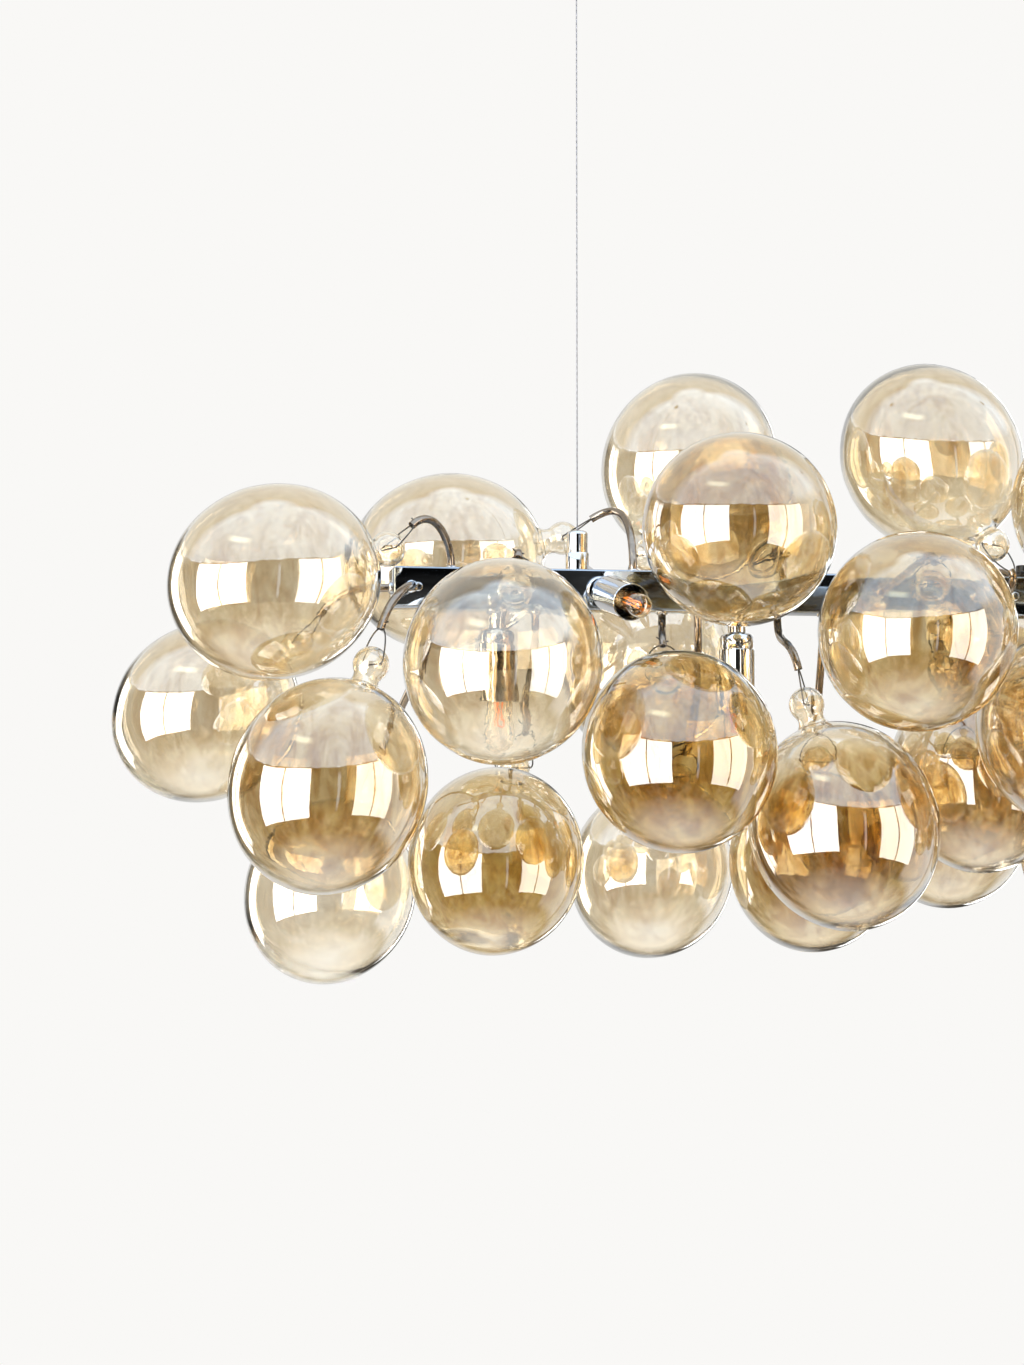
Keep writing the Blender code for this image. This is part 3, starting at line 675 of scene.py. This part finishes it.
# One row an arm: its root along the bar in ball diameters, the bar's face, and how far the hook leans
# up from the neck's way. The first twelve have a twin, turned half way round the bar's middle.
ARM_ROWS = (
    (-2.90, "top", 0.6),
    (-3.22, "end", 0.5),
    (-1.90, "top", 0.45),
    (-2.57, "front", 0.8),
    (-3.13, "front", 0.3),
    (-2.43, "under", 0.8),
    (-3.04, "under", 0.5),
    (-1.74, "under", 0.8),
    (-1.54, "under", 0.2),
    (-1.09, "top", 0.3),
    (-0.54, "front", 0.8),
    (-1.36, "back", 0.5),
    (-1.09, "under", 0.3),
    (-0.83, "under", 0.4),
    (-1.81, "back", 0.0),
    (0.18, "front", 0.0),
    (-0.11, "under", 0.3),
    (0.25, "under", 0.6),
    (0.04, "front", 0.7),
    (1.05, "top", 0.2),
    (1.09, "under", 0.3),
    (1.81, "front", 0.0),
)
HALF_TURN = Matrix.Rotation(math.pi, 3, "Z")
UP = Vector((0, 0, 1))

# Each tube is a circle swept along its line.
tube_tree, given = new_tree(
    "swept_round",
    ("Diameter", "NodeSocketFloat"),
    ("Sides", "NodeSocketInt"),
    ("Closed", "NodeSocketBool"),
    ("Finish", "NodeSocketMaterial"),
)
lines = add_node(tube_tree, "GeometryNodeMeshToCurve", {0: given["Shape"]})
half = add_node(tube_tree, "ShaderNodeMath", {0: given["Diameter"], 1: 0.5}, operation="MULTIPLY")
rim = {"Resolution": given["Sides"], "Radius": half.outputs[0]}
rim = add_node(tube_tree, "GeometryNodeCurvePrimitiveCircle", rim)
swept = {"Curve": lines.outputs[0], "Profile Curve": rim.outputs[0], "Fill Caps": given["Closed"]}
swept = add_node(tube_tree, "GeometryNodeCurveToMesh", swept)
end_tree(tube_tree, swept.outputs[0], given["Finish"])


def lines_mesh(name, paths):
    """A mesh of open lines, one through the points of each path."""
    points, edges = [], []
    for path in paths:
        edges += [(len(points) + step, len(points) + step + 1) for step in range(len(path) - 1)]
        points += path
    mesh = bpy.data.meshes.new(name)
    mesh.from_pydata(points, edges, [])
    return mesh


arm_paths, arm_roots, hook_frames = [], [], []
for number, name in enumerate(ball_names):
    twin = number >= len(ARM_ROWS)
    station, face, lean = ARM_ROWS[number - len(ARM_ROWS) if twin else number]
    turn = HALF_TURN if twin else Matrix.Identity(3)
    out = Vector(FACES[face])
    if face == "end":
        root = BAR_CENTRE + turn @ (out * BAR_LENGTH / 2)
    else:
        root = BAR_CENTRE + turn @ (out * BAR_SIDE / 2 + Vector((station * LARGE_BALL, 0, 0)))
    out = turn @ out
    hung = ball_frame(name)
    knob, hinge, neck = hung.translation, hung.col[0].xyz, hung.col[2].xyz
    pull = (neck + UP * lean).normalized()
    tip = knob + pull * (HOOK_HEIGHT - HOOK_GRIP)
    bend = (tip - root).length * ARM_BEND_SHARE
    path = [root - out * ARM_SINK]
    for step in range(ARM_STEPS + 1):
        part = step / ARM_STEPS
        path.append(
            root * (1 - part) ** 3
            + (root + out * bend) * 3 * part * (1 - part) ** 2
            + (tip + pull * bend) * 3 * part**2 * (1 - part)
            + tip * part**3
        )
    arm_paths.append(path)
    arm_roots.append((root, out))
    hook_turn = Matrix((hinge, pull.cross(hinge), pull)).transposed()
    hook_frames.append(Matrix.Translation(knob) @ hook_turn.to_4x4())

# Bright-drawn steel tube under thin nickel: darker and browner than the bar, with fine die marks.
drawn_steel = grained_material(
    "nickelled_drawn_steel_tube", TUBE_GRAIN, "#6E635A", "#9A8E80", 4.0, haze=(0.05, 0.12), Metallic=1.0
)

arms = grown_piece(
    "bent_arms",
    lines_mesh("arm_lines", arm_paths),
    tube_tree,
    drawn_steel,
    thickness=ARM_WALL,
    Diameter=ARM_D,
    Sides=ARM_SIDES,
)
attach(arms, "light")
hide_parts("bar_frame")
ferrule_profile = [
    (ARM_D / 2 + 0.00005, -0.0003),
    (FERRULE_D / 2, -0.0003),
    (FERRULE_D / 2, FERRULE_RISE * 0.5),
    (FERRULE_D / 2 - 0.0005, FERRULE_RISE * 0.8),
    (ARM_D / 2 + 0.0004, FERRULE_RISE),
    (ARM_D / 2 + 0.00005, FERRULE_RISE * 0.9),
]
ferrule = turned(ferrule_profile, FERRULE_SIDES, closed=True)
set_parts("arm_ferrules", ferrule, arm_roots, chrome)

# Hooks
# Soft steel wire, bent by hand: it runs through both eyes of the knob, rises in a loop on either side,
# and its ends are twisted together at the arm's open tip and cut short.
HOOK_D, HOOK_WIDTH = 0.0011, 0.030
HOOK_SIDES, LOOP_STEPS, TWIST_STEPS = 8, 26, 22
TWIST_TURNS, TWIST_RADIUS, TWIST_RISE = 2.5, 0.0011, 0.0050
HOOK_CORNER, CORNER_DRAW, HOOK_SWAY = 0.0035, 0.45, 0.0016
TWIST_DROP, TWIST_ENTRY, END_LENGTH, END_LIFT = 0.0018, 6, 0.0045, 0.25
WIRE_SKIN_GRAIN = 0.002

# Annealed steel wire, dull grey with a darker drawing skin.
wire_steel = grained_material(
    "annealed_steel_wire", WIRE_SKIN_GRAIN, "#3A3733", "#5E5A55", Metallic=1.0, Roughness=0.3
)


def hook_path(seed):
    """A hook in its own frame: the eyes lie on X through the origin and the arm's tip is up Z."""
    wobble = [noise.noise(Vector((seed * 1.7, step * 3.3, 0.5))) for step in range(6)]
    right = []
    for step in range(LOOP_STEPS + 1):
        angle = math.pi / 2 * step / LOOP_STEPS
        x = HOOK_WIDTH / 2 * math.cos(angle) * (1 + 0.05 * wobble[0] * math.sin(2 * angle))
        z = (HOOK_HEIGHT - 0.0008) * math.sin(angle)
        ease = min(1.0, z / HOOK_CORNER)
        x -= HOOK_CORNER * CORNER_DRAW * (1 - ease) ** 2
        right.append(Vector((x, HOOK_SWAY * wobble[1] * math.sin(2 * angle), z)))
    left = []
    for point in right:
        sway = HOOK_SWAY * wobble[3] * math.sin(math.pi * point.z / HOOK_HEIGHT)
        left.append(Vector((-point.x * (1 + 0.03 * wobble[2]), sway, point.z)))
    tails = []
    for side in (0, 1):
        tail = []
        for step in range(1, TWIST_STEPS + 1):
            part = step / TWIST_STEPS
            angle = math.tau * TWIST_TURNS * part + math.pi * side
            spread = TWIST_RADIUS * min(1, part * TWIST_ENTRY)
            height = HOOK_HEIGHT - TWIST_DROP + TWIST_RISE * part
            tail.append(Vector((spread * math.cos(angle), spread * math.sin(angle), height)))
        splay = angle + 0.6 + wobble[4]
        away = Vector((math.cos(splay), math.sin(splay), END_LIFT))
        tail += [tail[-1] + away * END_LENGTH * part for part in (0.4, 0.7, 1.0)]
        tails.append(tail)
    return tails[0][::-1] + right[::-1] + left + tails[1]


hook_paths = []
for number, place in enumerate(hook_frames):
    hook_paths.append([place @ point for point in hook_path(number)])
hooks = grown_piece(
    "wire_hooks",
    lines_mesh("hook_lines", hook_paths),
    tube_tree,
    wire_steel,
    Diameter=HOOK_D,
    Sides=HOOK_SIDES,
    Closed=True,
)
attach(hooks, "light")
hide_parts("bar_frame")

# Lampholders
# Eight turned and chromed brass holders. A ringed boss on the bar carries a short neck, and a collar
# with a set screw clamps the tubular shell, which hides the socket and its black insulator.
LAMP_ROWS = (
    (-2.65, (0.0, 0.0, -1.0)),
    (-1.32, (0.0, 0.0, -1.0)),
    (-2.11, (0.10, -0.97, -0.21)),
    (-2.11, (0.10, 0.97, 0.21)),
)
BOSS_D, BOSS_RISE, SEAT_GAP = 0.020, 0.002, 0.0003
NECK_D, NECK_LENGTH = 0.0135, 0.013
COLLAR_D, COLLAR_LENGTH = 0.0250, 0.0115
SHELL_D, SHELL_LENGTH, SHELL_WALL = 0.027, 0.060, 0.0012
SOCKET_FLOOR, SOCKET_STEP, SOCKET_D = 0.030, 0.040, 0.0146
SET_SCREW_D = 0.0036
LAMP_SIDES, BOSS_SIDES, INSULATOR_SIDES, SET_SCREW_SIDES = 56, 48, 40, 18
MOULDING_GRAIN = 0.0015

lamp_seats = []
for turn in (Matrix.Identity(3), HALF_TURN):
    for station, aim_way in LAMP_ROWS:
        out = (turn @ Vector(aim_way)).normalized()
        face = Vector((0, math.copysign(1, out.y), 0)) if abs(out.y) > abs(out.z) else -UP
        foot = BAR_CENTRE + turn @ Vector((station * LARGE_BALL, 0, 0)) + face * BAR_SIDE / 2
        lamp_seats.append((foot, out))

boss_profile = [
    (0, -0.004),
    (BOSS_D / 2 - 0.0006, -0.004),
    (BOSS_D / 2, 0.0002),
    (BOSS_D / 2 - 0.0004, 0.0012),
    (BOSS_D / 2 - 0.0013, BOSS_RISE),
    (BOSS_D / 2 - 0.0024, 0.0013),
    (NECK_D / 2 - 0.001, 0.0011),
    (0, 0.0011),
]
set_parts("lamp_bosses", turned(boss_profile, BOSS_SIDES), lamp_seats, chrome)

mouth = NECK_LENGTH + SHELL_LENGTH
bore = SHELL_D / 2 - SHELL_WALL
collar_end = NECK_LENGTH + COLLAR_LENGTH
neck, collar, shell = NECK_D / 2, COLLAR_D / 2, SHELL_D / 2
holder_profile = [
    (0, 0),
    (neck - 0.0003, 0),
    (neck, 0.0003),
    (neck, NECK_LENGTH - 0.0008),
    (neck + 0.0006, NECK_LENGTH),
    (collar - 0.0030, NECK_LENGTH + 0.0004),
    (collar - 0.0010, NECK_LENGTH + 0.0014),
    (collar, NECK_LENGTH + 0.0032),
    (collar, collar_end - 0.0008),
    (collar - 0.0005, collar_end),
    (collar - 0.0005, collar_end + 0.0005),
    (shell - 0.0004, collar_end + 0.0007),
    (shell, collar_end + 0.0012),
    (shell, mouth - 0.0005),
    (shell - 0.0004, mouth),
    (bore + 0.0003, mouth),
    (bore, mouth - 0.0005),
    (bore, SOCKET_STEP + 0.0004),
    (bore - 0.0004, SOCKET_STEP),
    (SOCKET_D / 2, SOCKET_STEP),
    (SOCKET_D / 2, SOCKET_FLOOR),
    (0, SOCKET_FLOOR),
]

# Black phenolic moulding, slightly glossy.
phenolic = grained_material(
    "black_phenolic_moulding", MOULDING_GRAIN, "#161514", "#26241F", Roughness=0.38
)
insulator_profile = [
    (SOCKET_D / 2 + 0.0004, SOCKET_STEP + 0.0002),
    (bore - 0.0012, SOCKET_STEP + 0.0002),
    (bore - 0.0014, SOCKET_STEP + 0.0060),
    (bore - 0.0024, SOCKET_STEP + 0.0070),
    (SOCKET_D / 2 + 0.0008, SOCKET_STEP + 0.0070),
    (SOCKET_D / 2 + 0.0004, SOCKET_STEP + 0.0062),
]
set_screw_seats = []
for number, (foot, out) in enumerate(lamp_seats, 1):
    turn = UP.rotation_difference(out).to_matrix().to_4x4()
    place = Matrix.Translation(foot + out * (BOSS_RISE + SEAT_GAP)) @ turn
    holder = new_piece(f"lampholder_{number}_shell", turned(holder_profile, LAMP_SIDES, place), chrome)
    ring = turned(insulator_profile, INSULATOR_SIDES, place, closed=True)
    insulator = new_piece(f"lampholder_{number}_insulator", ring, phenolic)
    for piece, slot in ((holder, "chrome"), (insulator, "gland_black")):
        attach(piece, "light")
        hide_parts(f"lampholder_{number}")
    side_way = out.cross(Vector((1, 0, 0)) if abs(out.z) > 0.5 else UP).normalized()
    collar_middle = place @ Vector((0, 0, NECK_LENGTH + COLLAR_LENGTH * 0.6))
    set_screw_seats.append((collar_middle + side_way * COLLAR_D / 2, side_way))
set_screw_profile = [
    (0, -0.0006),
    (SET_SCREW_D / 2 - 0.0009, -0.0006),
    (SET_SCREW_D / 2 - 0.0008, 0.0002),
    (SET_SCREW_D / 2 - 0.0002, 0.0003),
    (SET_SCREW_D / 2, -0.0002),
    (0, -0.0012),
]
set_parts(
    "lampholder_set_screws",
    turned(set_screw_profile, SET_SCREW_SIDES),
    set_screw_seats,
    phenolic,
    nodes=[f"lampholder_{number}" for number in range(1, len(lamp_seats) + 1)],
)

# Bulbs
# Slim tubular filament bulbs: a clear glass tube with a round tip, a nickelled screw cap, and an amber
# filament that zigzags between two leads.
BULB_D, BULB_LENGTH, BULB_WALL = 0.017, 0.072, 0.0008
CAP_D, CAP_LENGTH = 0.0136, 0.020
THREAD_PITCH, THREAD_DEPTH, THREAD_STEPS = 0.0028, 0.0005, 60
FILAMENT_D, FILAMENT_STRANDS, FILAMENT_SPREAD, LEAD_D = 0.0010, 5, 0.0024, 0.0006
BULB_SIDES, TIP_STEPS, FILAMENT_SIDES, LEAD_SIDES = 40, 12, 10, 8
BULB_CLOUD, NICKEL_GRAIN, EMBER_GRAIN = 0.02, 0.003, 0.0012

# Clear bulb glass, drawn: colourless and smooth.
clear = {"Roughness": 0.0, "IOR": 1.5, "Transmission_Weight": 1.0}
bulb_glass = grained_material("clear_bulb_glass", BULB_CLOUD, "#FFFDF6", "#FDF6E8", 2.0, **clear)

# Nickel-plated brass, rolled into a thread: warm grey, softly worn on the crests.
nickel = grained_material(
    "nickelled_brass_cap", NICKEL_GRAIN, "#C9B88F", "#D8D2C4", haze=(0.16, 0.34), Metallic=1.0
)

# The filament's coating: orange, with a faint glow.
glowing = {"Roughness": 0.5, "Emission_Strength": 1.6}
ember = grained_material("amber_filament_coating", EMBER_GRAIN, "#E0701E", "#F59A3C", 2.0, **glowing)
tree = ember.node_tree
glow = tree.nodes["Principled BSDF"].inputs["Emission Color"]
tree.links.new(tree.nodes["two_colours"].outputs[2], glow)


def bulb_outline(wall):
    """The tube from its foot in the cap to its round tip, drawn in by the wall."""
    radius = BULB_D / 2 - wall
    foot = CAP_LENGTH - 0.0006 + wall
    points = [
        (0, foot),
        (CAP_D / 2 - 0.0006 - wall, foot),
        (radius - 0.0004, CAP_LENGTH + 0.0022),
        (radius, CAP_LENGTH + 0.0040),
    ]
    for step in range(TIP_STEPS):
        angle = math.pi / 2 * step / TIP_STEPS
        points.append((radius * math.cos(angle), BULB_LENGTH - BULB_D / 2 + radius * math.sin(angle)))
    return points + [(0, BULB_LENGTH - wall)]


cap_profile = [(0, 0), (0.0030, 0), (0.0032, 0.0010), (0.0048, 0.0022)]
cap_profile.append((CAP_D / 2 - THREAD_DEPTH, 0.0030))
for step in range(THREAD_STEPS + 1):
    thread_height = 0.0034 + (CAP_LENGTH - 0.0056) * step / THREAD_STEPS
    crest = 0.5 + 0.5 * math.cos(math.tau * thread_height / THREAD_PITCH)
    cap_profile.append((CAP_D / 2 - THREAD_DEPTH * (1 - crest), thread_height))
cap_profile += [
    (CAP_D / 2 - 0.0002, CAP_LENGTH - 0.0010),
    (CAP_D / 2 - 0.0003, CAP_LENGTH - 0.0004),
    (CAP_D / 2 - 0.0012, CAP_LENGTH - 0.0008),
    (0, CAP_LENGTH - 0.0008),
]
filament = []
for strand in range(FILAMENT_STRANDS):
    angle = math.tau * strand / FILAMENT_STRANDS
    side_way = Vector((FILAMENT_SPREAD * math.cos(angle), FILAMENT_SPREAD * math.sin(angle), 0))
    ends = (CAP_LENGTH + 0.012, BULB_LENGTH - 0.014)
    filament += [side_way + UP * end for end in (ends if strand % 2 == 0 else ends[::-1])]
lead_paths = []
for side, target in ((1, filament[0]), (-1, filament[-1])):
    root = Vector((side * 0.0012, 0, CAP_LENGTH + 0.0008))
    lead_paths.append([root, Vector((side * 0.0022, 0, CAP_LENGTH + 0.007)), target])
for number, (foot, out) in enumerate(lamp_seats, 1):
    turn = UP.rotation_difference(out).to_matrix().to_4x4()
    place = Matrix.Translation(foot + out * (BOSS_RISE + 2 * SEAT_GAP + SOCKET_FLOOR)) @ turn
    tube = turned(bulb_outline(0), BULB_SIDES, place)
    turned(bulb_outline(BULB_WALL)[::-1], BULB_SIDES, place, shape=tube)
    shell = bpy.data.meshes.new(f"bulb_{number}_glass")
    tube.to_mesh(shell)
    tube.free()
    pieces = [
        (new_piece(f"bulb_{number}_glass", shell, bulb_glass), "bulb_glass"),
        (new_piece(f"bulb_{number}_cap", turned(cap_profile, BULB_SIDES, place), nickel), "steel_wire"),
    ]
    for kind, paths, metal, slot, wire_d, sides in (
        ("filament", [filament], ember, "bulb_glass", FILAMENT_D, FILAMENT_SIDES),
        ("leads", lead_paths, wire_steel, "steel_wire", LEAD_D, LEAD_SIDES),
    ):
        lines = lines_mesh(f"{kind}_lines", [[place @ point for point in path] for path in paths])
        sizes = {"Diameter": wire_d, "Sides": sides, "Closed": True}
        pieces.append((grown_piece(f"bulb_{number}_{kind}", lines, tube_tree, metal, **sizes), slot))
    for piece, slot in pieces:
        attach(piece, "light")
        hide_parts(f"bulb_{number}")

# Wire grips
# Two chromed brass grips screwed to the bar. The wire goes down through the domed plunger and is held
# by balls inside; pushing the plunger into its cupped body lets the wire go.
GRIP_D, GRIP_HEIGHT, GRIP_BORE_D, GRIP_BORE_DEPTH = 0.0174, 0.013, 0.0162, 0.004
PLUNGER_D, PLUNGER_HEIGHT, PLUNGER_SINK = 0.0156, 0.0185, 0.001
PLUNGER_ROUND, PLUNGER_STEPS = 0.0030, 8
WIRE_HOLE_D = 0.0018
GRIP_SIDES = 48
bar_top = BAR_CENTRE.z + BAR_SIDE / 2
grip_floor = GRIP_HEIGHT - GRIP_BORE_DEPTH
hole = WIRE_HOLE_D / 2
body_profile = [
    (hole, 0),
    (GRIP_D / 2 - 0.0004, 0),
    (GRIP_D / 2, 0.0004),
    (GRIP_D / 2, GRIP_HEIGHT - 0.0004),
    (GRIP_D / 2 - 0.0002, GRIP_HEIGHT),
    (GRIP_BORE_D / 2 + 0.0001, GRIP_HEIGHT),
    (GRIP_BORE_D / 2, GRIP_HEIGHT - 0.0003),
    (GRIP_BORE_D / 2, grip_floor),
    (hole, grip_floor),
]
plunger_profile = [(hole, 0), (PLUNGER_D / 2 - 0.0004, 0), (PLUNGER_D / 2, 0.0004)]
for step in range(PLUNGER_STEPS + 1):
    angle = math.pi / 2 * step / PLUNGER_STEPS
    inwards, down = PLUNGER_ROUND * (1 - math.cos(angle)), PLUNGER_ROUND * (1 - math.sin(angle))
    plunger_profile.append((PLUNGER_D / 2 - inwards, PLUNGER_HEIGHT - 0.0008 - down))
plunger_profile += [
    (0.0022, PLUNGER_HEIGHT - 0.0002),
    (hole + 0.0004, PLUNGER_HEIGHT),
    (hole, PLUNGER_HEIGHT - 0.0004),
]
for side_name, side in LEFT_AND_RIGHT:
    foot = Vector((side * WIRE_SIDE, 0, bar_top + SEAT_GAP))
    body_shape = turned(body_profile, GRIP_SIDES, Matrix.Translation(foot), closed=True)
    grip = new_piece(f"grip_body_{side_name}_chromed", body_shape, chrome)
    top = Matrix.Translation(foot + Vector((0, 0, GRIP_HEIGHT - PLUNGER_SINK)))
    plunger_shape = turned(plunger_profile, GRIP_SIDES, top, closed=True)
    plunger = new_piece(f"grip_plunger_{side_name}_chromed", plunger_shape, chrome)
    moving = ((grip, "light", "grip_body"), (plunger, f"button_{side_name}", "grip_plunger"))
    for piece, body, node in moving:
        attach(piece, body)
        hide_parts(f"{node}_{side_name}")

# Ceiling cups
# Two small chromed brass cups, each screwed up into the ceiling. The wire's ball end sits in the cup
# and the wire comes out through the hole in its floor.
CUP_D, CUP_HEIGHT, CUP_WALL, CUP_FLOOR = 0.025, 0.022, 0.003, 0.002
CUP_MOUTH_D, CUP_HOLE_D, CUP_SCREW_SIDES = 0.003, 0.0045, 24
cup_bore = CUP_D / 2 - CUP_WALL
screw_hole, outer, mouth = CUP_HOLE_D / 2, CUP_D / 2, CUP_MOUTH_D / 2
cup_profile = [
    (screw_hole, 0),
    (screw_hole, -CUP_WALL),
    (cup_bore, -CUP_WALL),
    (cup_bore, CUP_FLOOR - CUP_HEIGHT),
    (mouth, CUP_FLOOR - CUP_HEIGHT),
    (mouth, -CUP_HEIGHT + 0.0003),
    (mouth + 0.0004, -CUP_HEIGHT),
    (outer - 0.0030, -CUP_HEIGHT),
    (outer - 0.0012, -CUP_HEIGHT + 0.0004),
    (outer - 0.0003, -CUP_HEIGHT + 0.0014),
    (outer, -CUP_HEIGHT + 0.0030),
    (outer, -0.0004),
    (outer - 0.0004, 0),
]
screw_profile = [
    (0, -0.0052),
    (0.0012, -0.0052),
    (0.0016, -0.0064),
    (0.0034, -0.0060),
    (0.0042, -0.0046),
    (0.0042, -CUP_WALL - 0.0002),
    (0.0019, -CUP_WALL - 0.0002),
    (0.0019, -0.0003),
    (0, -0.0003),
]
for side_name, side in LEFT_AND_RIGHT:
    place = Matrix.Translation((side * WIRE_SIDE, 0, 0))
    cup_shape = turned(cup_profile, GRIP_SIDES, place, closed=True)
    cup = new_piece(f"ceiling_cup_{side_name}_chromed", cup_shape, chrome)
    screw_shape = turned(screw_profile, CUP_SCREW_SIDES, place)
    screw = new_piece(f"ceiling_cup_{side_name}_screw", screw_shape, nickel)
    for piece, slot in ((cup, "chrome"), (screw, "steel_wire")):
        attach(piece, "ceiling")
        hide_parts(f"ceiling_cup_{side_name}")

# Cable gland
# A black moulded gland in the bar's top, where the power cord comes in: a six-sided nut under a domed
# cap, with a hole through both.
GLAND_PLACE = 0.33 * LARGE_BALL
GLAND_D, GLAND_HEIGHT, GLAND_WAIST_D, GLAND_BORE_D = 0.014, 0.010, 0.010, 0.0075
NUT_SIDES, DOME_SIDES = 6, 36
DOME_ROUND, DOME_RISE, DOME_STEPS = 0.0009, 0.0030, 6
gland_bore = GLAND_BORE_D / 2
foot = Matrix.Translation((GLAND_PLACE, 0, bar_top + SEAT_GAP))
nut_profile = [
    (gland_bore, 0),
    (GLAND_D / 2 - 0.0003, 0),
    (GLAND_D / 2, 0.0003),
    (GLAND_D / 2, GLAND_HEIGHT / 2 - 0.0006),
    (GLAND_D / 2 - 0.0006, GLAND_HEIGHT / 2),
    (gland_bore, GLAND_HEIGHT / 2),
]
nut = turned(nut_profile, NUT_SIDES, foot, closed=True)
dome_foot = GLAND_HEIGHT / 2 + 0.0001
dome_profile = [(gland_bore, dome_foot), (GLAND_WAIST_D / 2, dome_foot)]
for step in range(DOME_STEPS + 1):
    angle = math.pi / 2 * step / DOME_STEPS
    inwards, down = DOME_ROUND * (1 - math.cos(angle)), DOME_RISE * (1 - math.sin(angle))
    dome_profile.append((GLAND_WAIST_D / 2 - inwards, GLAND_HEIGHT - down))
dome_profile.append((gland_bore, GLAND_HEIGHT))
dome = turned(dome_profile, DOME_SIDES, foot, closed=True)
for name, shape in (("cable_gland_nut", nut), ("cable_gland_dome", dome)):
    piece = new_piece(name, shape, phenolic)
    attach(piece, "light")
    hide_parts("cable_gland")
